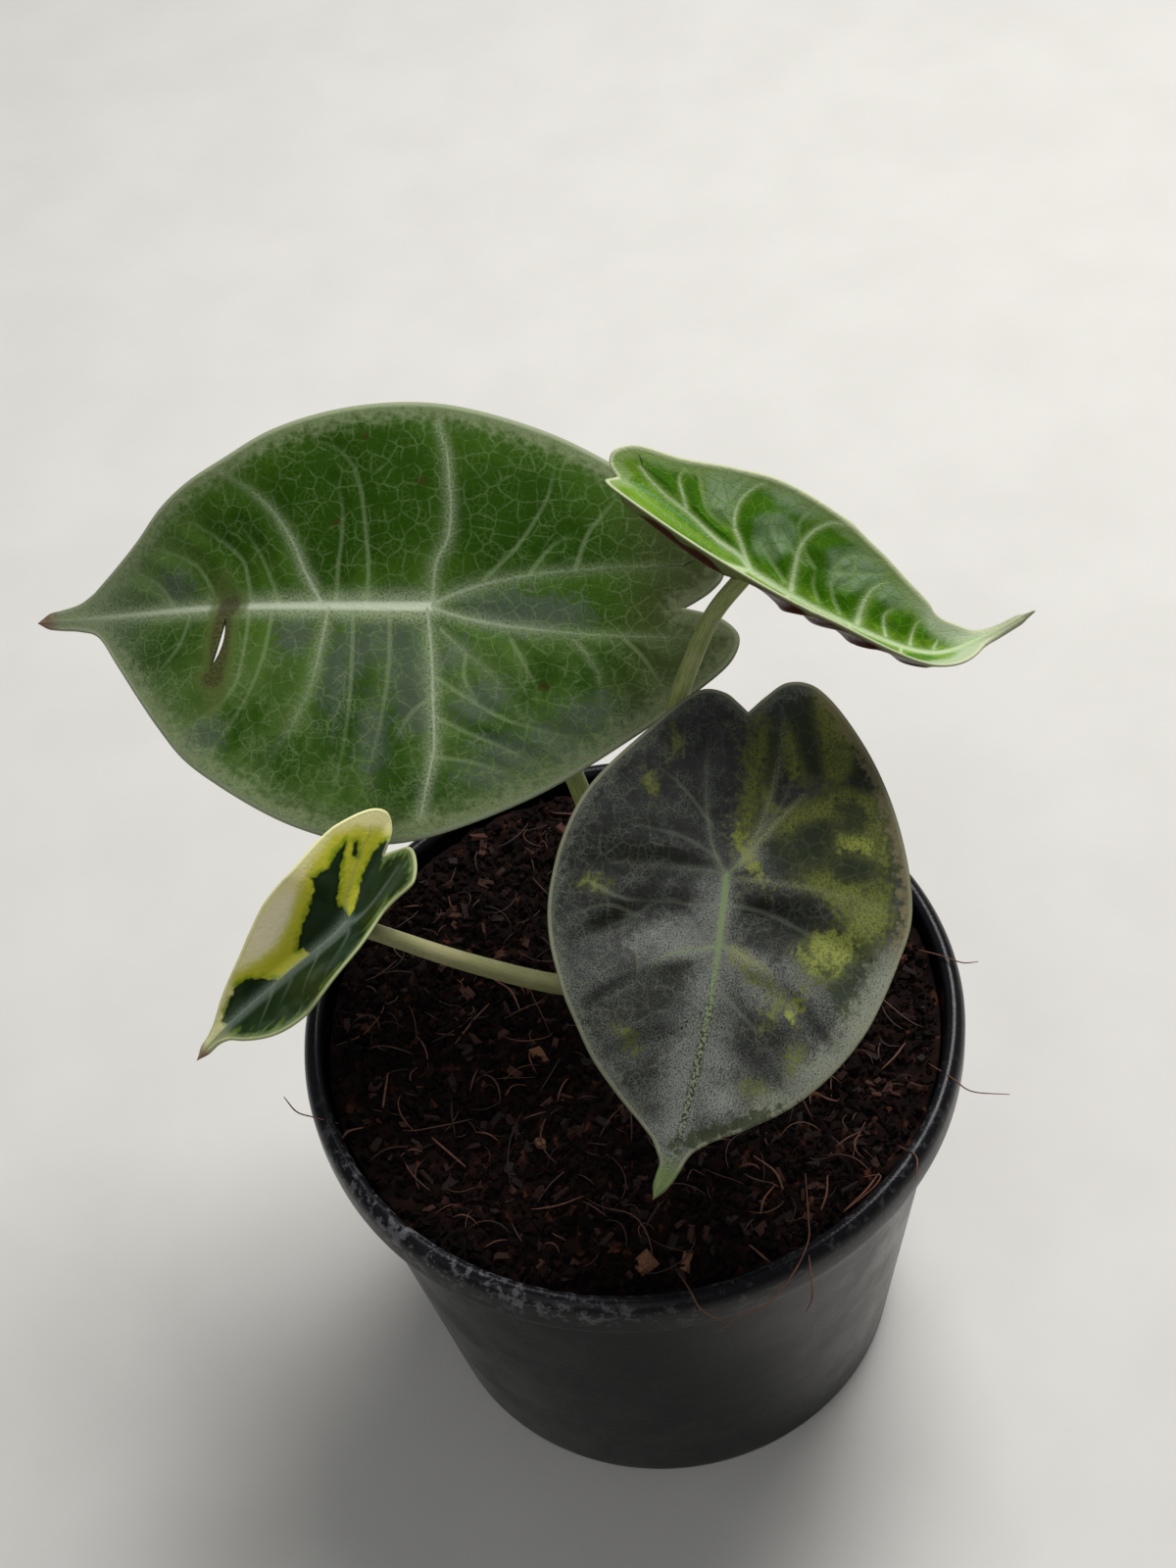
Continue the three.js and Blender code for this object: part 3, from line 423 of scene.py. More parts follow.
# %% The bent blade
def bend_leaf(leaf, along, across):
    """Spine point, plus the straight way past its ends, plus two arcs sideways: one that turns up to the
    fold over the hinge, and one that goes on curling. Gives the place and the way its face looks."""
    along, across = along * leaf["size"], across * leaf["size"]
    spine = np.array(leaf["spine"], float)
    marks = np.r_[0, np.cumsum(np.linalg.norm(np.diff(spine, axis=0), axis=1))]
    mark = along + marks[1]
    inside = np.clip(mark, 0, marks[-1])
    t = np.interp(inside, marks, np.arange(len(spine))) / (len(spine) - 1)
    ahead = heading(spine, t)
    at = through(spine, t) + ahead * (mark - inside)[:, None]
    share = along / (marks[-1] - marks[1])
    start, end = looking(*leaf["facing"]), looking(*leaf["tip_facing"])
    side = unit(np.cross(start + (end - start) * np.clip(share, 0, 1)[:, None], ahead))
    normal = np.cross(ahead, side)

    def of_half(key):
        right, left = leaf["right"][key], leaf["left"][key]
        lobe, hub, tip = [np.where(across < 0, right[k], left[k]) for k in range(3)]
        to_lobe, to_tip = smooth(-share / 0.5), smooth(share / 0.6)
        return hub + (lobe - hub) * to_lobe + (tip - hub) * to_tip

    fold, curl, sign = np.radians(of_half("fold")), of_half("curl"), np.sign(across)
    on = np.minimum(np.abs(across), leaf["hinge"])
    past = np.abs(across) - on
    (y1, z1), (y2, z2) = bent(0 * on, fold / leaf["hinge"], on), bent(fold, curl, past)
    tilt = fold / leaf["hinge"] * on + curl * past
    at = at + side * (sign * (y1 + y2))[:, None] + normal * (z1 + z2)[:, None]
    return at, normal * np.cos(tilt)[:, None] - side * (sign * np.sin(tilt))[:, None]


def basal_vein(end, share):
    """A basal vein leaves the hub steeply, then turns out to the lobe: a curve pulled by one point."""
    pull, far = 2 * share * (1 - share), share**2
    return np.stack([end[0] * (0.25 * pull + far), end[1] * (0.95 * pull + far)], -1)


def flat_half(leaf, side, cell=0.5, steps=52):
    """Columns follow the side veins from tip to notch, steps go from vein to margin: foot plus reach,
    where the way along grows with the power 1.6 of the way across, so that the veins sweep to the tip.
    Both halves get the same number of columns, so that they meet point for point along the midrib."""
    end = leaf[side]["basal"]
    mid, basal = leaf["midrib_rows"], leaf["basal_rows"]
    feet = np.array([leaf["tip"] - 1.2, *(r[0] for r in mid), *(0 for _ in basal), 0])
    shares = np.array([0, *(0 for _ in mid), *(r[0] for r in basal), 0])
    tip, notch = (leaf["tip"], 0), (leaf["notch"], 0)
    both = {key: np.array([tip, *(r[i] for r in mid + basal), notch], float)
            for i, key in ((1, "left"), (2, "right"))}
    edges = both[side]
    chords = np.max([np.linalg.norm(np.diff(e, axis=0), axis=1) for e in both.values()], axis=0)
    parts = np.ceil(chords / cell).astype(int)
    parts = np.maximum(parts, np.ceil(np.abs(np.diff(feet)) / cell).astype(int))
    hub, lobe = len(mid), len(mid) + 1 + [r[0] for r in basal].index(1)
    inner = np.arange(hub, lobe)
    mirror = 2 * lobe - 1 - inner
    parts[inner] = parts[mirror] = np.maximum(parts[inner], parts[mirror])
    c = np.concatenate([i + np.arange(n) / n for i, n in enumerate(parts)] + [[len(parts)]])
    share = np.interp(c, np.arange(len(shares)), shares)
    foot = basal_vein(end, share) + np.stack([np.interp(c, np.arange(len(feet)), feet), 0 * c], -1)
    edge = through(edges, c / (len(edges) - 1))
    edge[[0, -1], 1] = 0
    reach = edge - foot
    v = (np.arange(steps + 1) / steps) ** 1.25
    bow = 0.08 * np.abs(reach[:, 1:]) * np.sin(np.pi * v)
    along = foot[:, :1] + reach[:, :1] * v**1.6 - bow
    across = foot[:, 1:] + reach[:, 1:] * v
    rib = np.where(c > hub, 1 - 0.6 * share, 1 - 0.75 * foot[:, 0] / leaf["tip"])
    start = np.interp(c, np.arange(len(feet)), feet)[:, None] + 0 * v
    out = np.hypot(along - foot[:, :1], across - foot[:, 1:])
    return dict(along=along, across=across, v=0 * along + v, rib=rib[:, None] * np.exp(-((out / 1.7) ** 2)),
                start=start, edge=edge, basal=basal_vein(end, np.linspace(0, 1, 40)))


shape = flat_half(leaves["large"], "left")["along"].shape
print("one half of the large leaf:", shape[0], "columns of", shape[1], "points")

# %% [markdown]
# ## What the skin needs to know
# The material has to know where each spot lies on the leaf: how far from the nearest strong vein, weak
# vein and margin, and how deep inside a coloured patch. A painted mask could tell it, but only as sharply
# as it has pixels. So these are worked out as distances, once a point, and stored with the mesh: the
# pattern stays on the leaf however it bends. A vein tapers, so its distance is counted in its own local
# half-breadths. A thin line stays sharp between two points of the mesh only if its distance has a sign,
# one side of it plus and the other minus.

# %% Distances on the flat leaf
def strong_veins(points, lines):
    """The least distance in the vein's own half-breadths, which shrink to 40% at its end; its strength
    there; the glow, which is strength times e to the minus (distance over reach) to the power 1.5; and
    the least distance in millimetres."""
    nearest, mm = np.full(len(points), 60.0), np.full(len(points), 60.0)
    strength, glow = np.zeros(len(points)), np.zeros(len(points))
    for breadth, reach, (foot, end), line in lines:
        gap, share, _ = away(points, through(line, np.linspace(0, 1, 4 * len(line))))
        here = foot + (end - foot) * share
        scaled = gap / (breadth * (1 - 0.6 * share))
        strength = np.where(scaled < nearest, here, strength)
        nearest, mm = np.minimum(nearest, scaled), np.minimum(mm, gap)
        glow = np.maximum(glow, here * np.exp(-((gap / (reach * (1 - 0.35 * share))) ** 1.5)))
    return nearest, strength, glow, mm


def weak_veins(points, lines):
    """The signed distance in millimetres from the nearest line, its strength, which fades to a third at the
    line's end and to nothing 1.8 mm to its side, and the distance without its sign."""
    nearest, signed = np.full(len(points), 60.0), np.full(len(points), 60.0)
    strength = np.zeros(len(points))
    for line in lines:
        gap, share, side = away(points, through(line, np.linspace(0, 1, 4 * len(line))))
        near = gap < nearest
        signed = np.where(near, gap * side, signed)
        strength = np.where(near, 1 - 0.66 * share, strength)
        nearest = np.minimum(nearest, gap)
    return signed, strength * smooth(1.6 - nearest / 1.1), nearest


def depth_inside(points, forms):
    """How many millimetres a point lies inside the nearest of several forms, negative outside. A form is an
    oval, by its middle, half-length, half-breadth and lean in degrees, or the outline of a patch."""
    found = np.full(len(points), -30.0)
    for form in forms:
        if isinstance(form, tuple):
            along, across, long, broad, lean = form
            a = math.radians(lean)
            dx, dy = points[:, 0] - along, points[:, 1] - across
            u, w = dx * math.cos(a) + dy * math.sin(a), dy * math.cos(a) - dx * math.sin(a)
            depth = (1 - np.hypot(u / long, w / broad)) * min(long, broad)
        else:
            line = np.array([*form, form[0]], float)
            (x0, y0), (x1, y1) = line[:-1].T, line[1:].T
            x, y = points[:, :1], points[:, 1:]
            rise = np.where(y1 == y0, 1e-9, y1 - y0)
            crosses = ((y0 > y) != (y1 > y)) & (x < (x1 - x0) * (y - y0) / rise + x0)
            depth = away(points, line)[0] * np.where(crosses.sum(1) % 2 == 1, 1, -1)
        found = np.maximum(found, depth)
    return found


print("depth at the middle of a 10 by 4 mm oval:", depth_inside(np.zeros((1, 2)), [(0, 0, 5, 2, 0)])[0])

# %% [markdown]
# ## The coloured patches
# Variegation is not painted on in a pattern. Some of the leaf's cell layers lack green, and where they
# come to lie the leaf shows cream, yellow or a silvery grey, in blotches with ragged borders. A noise
# alone would put blotches anywhere, so each one is placed as an oval or an outline of a few flat points,
# and the material frays its border. Some patches are painted light, not variegation: the folded leaf's
# sheen and the grey leaf's lit ovals are painted highlights, its pucker ovals painted shade.

# %% Patches
patches = {
    "large": dict(
        grey_blue=[
            [(15, 4), (3, 3.5), (-1, 14.5), (-1, 22.5), (3, 22.5), (6, 14.5), (8, 7.5), (13.5, 14.5)],
            [(-5.5, -1.5), (-14.5, -2.5), (-26.5, -1), (-28.5, 2.5), (-18, 4.5), (-9.5, 3)],
            (48.5, -4.5, 3, 2.2, 0), (40, 24.5, 3.5, 2.6, 30), (-4.5, 9, 2.5, 1.6, 40), (-10, 17, 4, 3, 30),
            (-15.5, 26.5, 5, 2.8, 170), (-28.5, 19.5, 5, 2.6, 20), (-35.5, 21, 3, 2, 0),
            (15.5, 13, 2, 6, 0), (8.5, 23.5, 2, 5, 0), (24, 5.5, 3, 3, 0), (-12, 30, 4, 2, 0),
            (-23.5, 24.5, 5, 2.4, 150),
        ],
        deep=[
            (12, -21, 13, 12, 0), (-14, -16, 11, 9, 0), (17.5, -10.5, 5, 5, 0), (34.5, -14, 5, 4, 0),
            (25, -21, 4, 5, 0), (-26, -11, 6, 4, 0), (59.5, 2, 5, 3, 0), (51.5, 8.5, 7, 4, 30),
            (14, 20, 4, 9, 0), (5.5, 26, 2.5, 7, 0), (-28.5, 12.5, 3, 3, 0), (-35, 9, 4, 2.5, 0),
            (-37, 17.5, 3, 2, 0), (-12, 23, 3.5, 2.5, 0), (0, 33, 5, 2.5, 0), (-20, 13, 4, 2.5, 40),
            (24, 28, 4, 3, 0), (33, 22, 4, 3, 40), (-16, 2, 9, 1, 0),
        ],
        speck=[(2, -22.5, 0.8, 0.4, 0), (17, -15, 0.5, 0.4, 0), (-21, 14.5, 0.8, 0.5, 20),
               (12.5, -30.5, 0.5, 0.4, 0)],
        wound=[(38.3, 6.5, 2.0, 8.6, 0), (37.4, 0.0, 2.6, 1.8, 30), (39, 13.5, 2.2, 1.8, 0)],
    ),
    "folded": dict(
        deep=[
            [(-26.5, 5.5), (-24, 7), (-21, 8), (-19.5, 6), (-18, 4.5), (-16.5, 3.7), (-20, 3.6), (-24, 4)],
            [(-19, 7.5), (-17.5, 9.5), (-15.5, 7), (-12.5, 5), (-9.5, 4.5), (-6.5, 4), (-3, 1.8), (-6, 2),
             (-10.5, 2.7), (-15, 3.6), (-18, 5.5)],
            [(-7.5, 8.5), (-7.5, 12), (-5, 15), (0, 16.5), (5, 17), (4.5, 12.5), (4.5, 8.5), (6.5, 4),
             (5, 1.5), (1, 2), (-2.5, 3.5), (-6, 5.5)],
            [(7, 6), (6, 9.5), (7, 12.5), (10, 15), (13.5, 15), (17.5, 13.5), (20.5, 12.5), (22.5, 10.5),
             (20, 7.5), (20, 4), (20.5, 1.5), (16.5, 1.5), (12, 2), (9, 3)],
            [(22, 3.5), (22, 6.5), (23.5, 9), (26, 8), (24.5, 5.5), (25.5, 2.5), (23, 2.5)],
            [(26, 3), (25.5, 4.5), (26.5, 6.5), (29.5, 6), (30, 3.5), (29.5, 2)],
            [(31.5, 2.5), (31.5, 5), (34.5, 5), (35, 2.5)], [(36, 2), (36.5, 3.5), (38.5, 3), (37.5, 1.5)],
            (-15, 1.0, 12, 0.8, 0), (-10, -6, 8, 4, 10), (3, -8, 4, 6, 0), (14, -7, 5, 5, 0),
            (25, -5, 3.5, 4, 0), (33, -3, 3, 2.5, 0),
        ],
        # Sheen: painted highlights, the pale gloss in the middle of the swollen panels.
        sheen=[
            [(-16, 10), (-13.5, 13), (-8.8, 14), (-9.3, 11.5), (-9.3, 8.5), (-8.2, 6), (-9.5, 5.4),
             (-13, 5.9)],
            [(-3.5, 8.5), (-1, 11.5), (2.5, 11), (4, 7.5), (2.5, 4.5), (-1, 4)], (0, 15, 4, 1.6, 0),
            [(11, 10.5), (16.5, 13), (21, 13), (22, 10), (19, 7), (14, 5.5)], (24.5, 8.5, 3, 1.6, 0),
        ],
    ),
    "grey": dict(
        olive=[
            [(-5, 1), (-10, 0.5), (-16.5, 1.5), (-23, 0.5), (-28, 1), (-28.5, 5), (-24.5, 7), (-18, 6),
             (-11.5, 4.5), (-6.5, 3.5)],
            [(-6.5, 2.5), (-12, 7), (-16, 12), (-19.5, 19), (-19, 24.5), (-15.5, 27.5), (-8.5, 29.5),
             (-1, 30), (6.5, 30.5), (13, 29.5), (17.5, 25.5), (18.5, 20), (17, 15.5), (12, 13.5), (8, 17.5),
             (5.5, 21.5), (2, 19.5), (0.5, 12.5), (-4, 10), (-5.5, 6)],
            [(-36, 12), (-35.5, 15), (-31.5, 18), (-26.5, 20.5), (-22, 20.5), (-19.5, 18), (-19.5, 15.5),
             (-20, 10), (-23, 8), (-29, 7), (-33, 9)],
        ],
        yellow=[
            (-17, 2.6, 8.5, 1.1, 0), (-23.5, 3.6, 4, 1.4, 0), (-9, 1.9, 3, 0.7, 0),
            [(-36, 12), (-35.5, 15), (-31.5, 18), (-26.5, 20.5), (-22, 20.5), (-19.5, 18), (-19.5, 15.5),
             (-24.5, 14.5), (-30, 12.5)],
            [(-29, 7), (-27.5, 9), (-23.5, 11), (-20, 12.5), (-19, 9.5), (-23, 8)],
            [(-11, 7.5), (-15.5, 13), (-19, 19.5), (-18, 24.5), (-12, 27), (-5.5, 28.5), (-7, 24),
             (-11, 21.5), (-13.5, 18), (-12, 14.5), (-10, 11.5), (-7, 9)],
            [(-0.5, 13), (-3, 18), (-2, 24.5), (-2, 29), (5.5, 30), (10, 26.5), (9.5, 23.5), (5, 22),
             (1.5, 18)], (4.5, -24, 1.4, 0.7, 90), (-15, -16, 1.2, 0.6, 30), (36, 11, 1.3, 0.6, 90),
            (23.5, 11, 0.9, 0.6, 0), (20.5, 15.5, 0.8, 0.7, 0), (20.5, 26, 1.6, 0.8, 90),
            (22.5, 27.5, 1.2, 0.7, 0), (16, 5, 2.6, 0.7, 45), (18, 8, 3, 0.6, 50), (30, 17, 1.3, 0.7, 0),
            (32.5, -13.5, 1.2, 0.5, 60), (-23, -12.5, 1.0, 0.5, 0), (-15, 5.5, 5, 0.8, 35),
            (21.5, 13.5, 1.5, 0.8, 50),
        ],
        lemon=[[(12, 14), (9, 16.5), (8, 20.5), (9, 23.5), (12, 24.5), (14, 22.5), (16, 23.5), (17, 20),
                (15.5, 17)],
               (-4, 3.5, 3.5, 0.9, 35), (-9, 22, 1.5, 3, 0), (22, 15, 0.9, 0.7, 0)],
        island=[
            [(-7.5, 10.5), (-11, 13), (-12, 16.5), (-8.5, 18.5), (-5.5, 16.5), (-4, 12.5)],
            [(-15.5, 18), (-17, 21.5), (-14.5, 24), (-11.5, 23.5), (-10.5, 20.5)],
            [(-4, 19), (-6, 22.5), (-5, 25.5), (-2, 24.5), (-1.5, 20.5)],
            [(-6.5, 6), (-8.5, 9.5), (-4, 12), (-1.5, 10.5), (-2.5, 7)],
            [(17, 20.5), (13.5, 24.5), (13, 29.5), (17, 30), (21.5, 27.5), (21.5, 23)],
            [(-33, 6.5), (-35, 10.5), (-29, 12.5), (-21, 14.5), (-20.5, 12), (-26.5, 9.5)],
            [(-26.5, 20.5), (-22, 23), (-19.5, 23.5), (-20, 20)], (15.5, 20, 1.4, 0.9, 0),
            (10, 15.5, 2.5, 1, 20), (-25.5, 5.2, 3.5, 0.8, 0),
        ],
        # Pucker ovals: painted shade in the hollows of the pleats, just past the strong veins.
        pucker=[
            (-1, -17, 2.4, 9, 0), (25.5, -12.5, 2.6, 8, 35), (37, -8, 1.8, 4.5, 25), (10, -20.5, 2.5, 3, 0),
            (4.5, 11, 1.9, 8, 12), (27, 9.5, 2.6, 6, 0), (40, 11, 1.8, 4, 25), (9, 8, 1.5, 5, 15),
        ],
        # Lit ovals: painted highlights, where the pleats face the light.
        lit=[
            (12.5, -6.5, 2.6, 7, 10), (17.5, 7, 2.6, 6, -20), (6, -1.5, 4, 3, 0), (37, -2.5, 7, 2.2, 0),
            (44, -2, 5, 2.4, 0), (32, 3, 4, 2, 0), (-5.5, 7, 3, 5, 0), (20.5, -1.5, 4, 2, 0),
            (16.5, 17, 2.5, 3.5, 0), (40, 6, 3, 3, 0),
        ],
        turned=[(46, 4.5, 5, 1.2, 125), (41, 12.5, 5.5, 1.2, 115)],
    ),
    "small": dict(
        island=[
            [(-13.5, -8.5), (-12, -8), (-9, -7.5), (-6.5, -6), (-3, -5), (-1.5, -3.5), (-2, -2.5),
             (-1, 0.6), (4, 0.6), (9, 0.6), (9.5, -2), (10.5, -2.5), (8.5, -4.5), (6, -6.5), (4, -7.5),
             (0.5, -9), (-2.5, -10), (-4.5, -11.5), (-6.5, -10.5), (-8, -9.5), (-11, -9.5)],
            [(21, -5), (19.5, -3.5), (18, -1.5), (16.5, 0.5), (29, 0.5), (29.5, -1.5), (25.5, -3.7),
             (23.5, -5)], [(-12, -6), (-14, -7), (-14.5, -6.5), (-12, -5)],
            [(-17, -0.8), (-16, -1.8), (-12, -2.2), (-9, -2), (-6, -1), (-1, 0.5), (-17, 0.5)],
        ],
        yellow=[[(-16, -7.5), (-13, -11), (-8, -12.2), (-2, -12.2), (3, -10.5), (9, -7), (13, -5),
                 (18, -5.5), (22, -6.5), (23, -4.5), (17, 0.5), (10, 0.5), (-17, 0.5), (-17.5, -3)]],
        pink=[(10, -10.5, 8, 2.6, 20)],
    ),
}
print({name: sum(len(v) for v in kinds.values()) for name, kinds in patches.items()}, "patches")

# %% [markdown]
# ## The tear
# The large leaf has an old wound: a slit beside the midrib, torn along a side vein, with dead brown
# tissue round it. A Boolean cut would leave ragged triangles along it. The grid already has a column
# along that vein, so the blade is parted there: the columns on either side are pushed away from it, most
# at the slit and less with every millimetre.

# %% Parting the blade at the tear
tear = dict(foot=38.2, across=(2.2, 11.6), half_width=0.55, reach=2.2)


def tear_half_width(across):
    """Nothing at both ends of the slit and its full half-width in the middle."""
    low, high = tear["across"]
    share = np.clip((across - low) / (high - low), 0, 1)
    return tear["half_width"] * np.sin(np.pi * share) ** 0.7


def torn_blocks(half):
    """Parts a half at the column that follows the slit. Both blocks move away from it, by the half-width
    there times e to the minus (distance over reach) to the power 1.5. With each block come its row of
    points at the slit, the next row in, and the points of that row that the slit spans."""
    cut = int(np.abs(half["start"][:, 0] - tear["foot"]).argmin())
    along, across = half["along"][cut], half["across"][cut]
    spans = np.flatnonzero((across >= tear["across"][0]) & (across <= tear["across"][1]))
    spans = np.arange(max(spans[0] - 1, 0), min(spans[-1] + 2, len(across)))
    blocks = []
    for columns, push, row, next_in in ((slice(0, cut + 1), 1, -1, -2), (slice(cut, None), -1, 0, 1)):
        block = {key: half[key][columns] for key in ("along", "across", "v", "rib", "start")}
        near = np.interp(block["across"], across, along)
        fade = np.exp(-((np.abs(block["along"] - near) / tear["reach"]) ** 1.5))
        block["along"] = block["along"] + push * tear_half_width(block["across"]) * fade
        blocks.append((block, (row, next_in, spans)))
    return blocks


print("slit half-width in its middle:", tear_half_width(np.mean(tear["across"])), "mm")

# %% [markdown]
# ## From the drawing to a closed blade
# A leaf blade is under a millimetre thick, with ribs that stand out below. A Solidify modifier could give
# a bent sheet its thickness, but not the ribs, nor an edge that is thinner than the middle. So the upper
# and the lower face are worked out one by one, and a rounded strip closes the margin between them. The
# blade also swells between its side veins, because the tissue there outgrows the veins that hold it:
# strongly on the young glossy leaf, hardly at all on the large old one.

# %% The blade
middle_thickness, margin_thickness = 0.95, 0.55
midrib_height, vein_height, vein_spread = 1.1, 0.35, 0.9
swelling_reach, flat_margin = 3, 5
edge_bulge, slit_bulge = 0.45, 0.4


def flat_facts(name, leaf, halves, side, block):
    """What the skin asks of each flat point, and its distance from the nearest strong vein in mm."""
    flat = np.stack([block["along"].ravel(), block["across"].ravel()], 1)
    known = veins[name]
    lines = known["strong"] + [(*known["midrib"], [(0, 0), (leaf["tip"], 0)])]
    lines += [(*known["basal"], known.get(key + "_basal", halves[key]["basal"])) for key in halves]
    strong, strength, glow, strong_mm = strong_veins(flat, lines)
    weak_side, weak, weak_mm = weak_veins(flat, known["weak"])
    rim = np.minimum(away(flat, halves["left"]["edge"])[0], away(flat, halves["right"]["edge"])[0])
    facts = dict(
        flat_mm=np.concatenate([flat, 0 * flat[:, :1]], 1), strong=strong, strength=strength, glow=glow,
        weak=weak, weak_side=weak_side, rim=rim, panel=np.minimum(strong_mm, 1.3 * weak_mm),
        half=np.full(len(flat), 1.0 if side == "left" else -1.0),
    )
    facts.update({key: depth_inside(flat, forms) for key, forms in patches[name].items()})
    return facts, strong_mm


def wall(upper, lower, out, facts, which, flip):
    """Closes two edges with one line of points between them, pushed out by a share of the thickness."""
    between = (upper + lower) / 2 + out * edge_bulge * np.linalg.norm(upper - lower, axis=1)[:, None]
    strip = np.concatenate([upper, between, lower])
    known = {key: np.concatenate([v[which]] * 3) for key, v in facts.items()}
    return strip, grid_triangles(3, len(upper), flip=flip), dict(known, under=np.zeros(len(strip)))


def shell(leaf, side, block, facts, lift, strong_mm, slit):
    """The bent sheet moved by its lift along the way it faces, then up by half its thickness, or down by
    half its thickness and its ribs. A side rib is its height times e to minus the square of the distance
    over its spread."""
    rows, columns = block["along"].shape
    at, face = bend_leaf(leaf, block["along"].ravel(), block["across"].ravel())
    half = (middle_thickness + (margin_thickness - middle_thickness) * block["v"].ravel()) / 2
    ribs = midrib_height * block["rib"].ravel() + vein_height * np.exp(-((strong_mm / vein_spread) ** 2))
    top, bottom = at + face * (lift + half)[:, None], at + face * (lift - half - ribs)[:, None]
    t = grid_triangles(rows, columns, flip=side == "left")
    sheets = [(top, t, dict(facts, under=np.zeros(len(at)))),
              (bottom, t[:, ::-1], dict(facts, under=np.ones(len(at))))]
    sheet, upper, lower = [v.reshape(rows, columns, 3) for v in (at, top, bottom)]
    out = unit(sheet[:, -1] - sheet[:, -4] + 1e-9)
    margin = slice(columns - 1, None, columns)
    sheets.append(wall(upper[:, -1], lower[:, -1], out, facts, margin, side == "right"))
    if slit:
        row, next_in, spans = slit
        out = unit(upper[row, spans] - upper[next_in, spans] + 1e-9) * slit_bulge
        out[[0, -1]] = 0  # both walls meet at the slit's ends
        which = spans + row % rows * columns
        sheets.append(wall(upper[row, spans], lower[row, spans], out, facts, which, row == -1))
    return sheets


def blade(name, leaf, quilt, crease=None, cell=0.5, steps=52, torn=False):
    """Both faces of both halves, their walls, and what the skin needs to know. The blade swells by the
    quilting in millimetres, times one minus e to the minus squares of the distances from the veins and
    from the margin. A crease adds its own height."""
    halves = {side: flat_half(leaf, side, cell, steps) for side in ("left", "right")}
    sheets = []
    for side, half in halves.items():
        for block, slit in torn_blocks(half) if torn and side == "left" else [(half, None)]:
            facts, strong_mm = flat_facts(name, leaf, halves, side, block)
            lift = quilt * (1 - np.exp(-((facts["panel"] / swelling_reach) ** 2)))
            lift = lift * (1 - np.exp(-((facts["rim"] / flat_margin) ** 2)))
            if crease:
                lift = lift + crease(block["start"].ravel(), block["across"].ravel(), facts["rim"])
            sheets += shell(leaf, side, block, facts, lift, strong_mm, slit)
    starts = np.cumsum([0] + [len(points) for points, _, _ in sheets])
    points = np.concatenate([points for points, _, _ in sheets])
    triangles = np.concatenate([t + start for (_, t, _), start in zip(sheets, starts)])
    facts = {key: np.concatenate([known[key] for _, _, known in sheets]) for key in sheets[0][2]}
    return closed(points, triangles, **facts)


print("a blade is", middle_thickness, "mm thick at its midrib and", margin_thickness, "mm at its margin")

# %% [markdown]
# ## The leaf's skin
# The leaf is a waxy living tissue: deep green cells seen through a clear cuticle, with air pockets under
# the skin along the veins and the margin that scatter white light and look silver. Four painted images
# could show this, but could not be changed by a word. So the material lays it down in the leaf's own
# order: the green and its patches, the net of veins, the silver bands, and last the spots and wounds.
# Every leaf is a table of layers, so that its look can be read from below upwards. A few layers are painted
# highlights and painted shade.

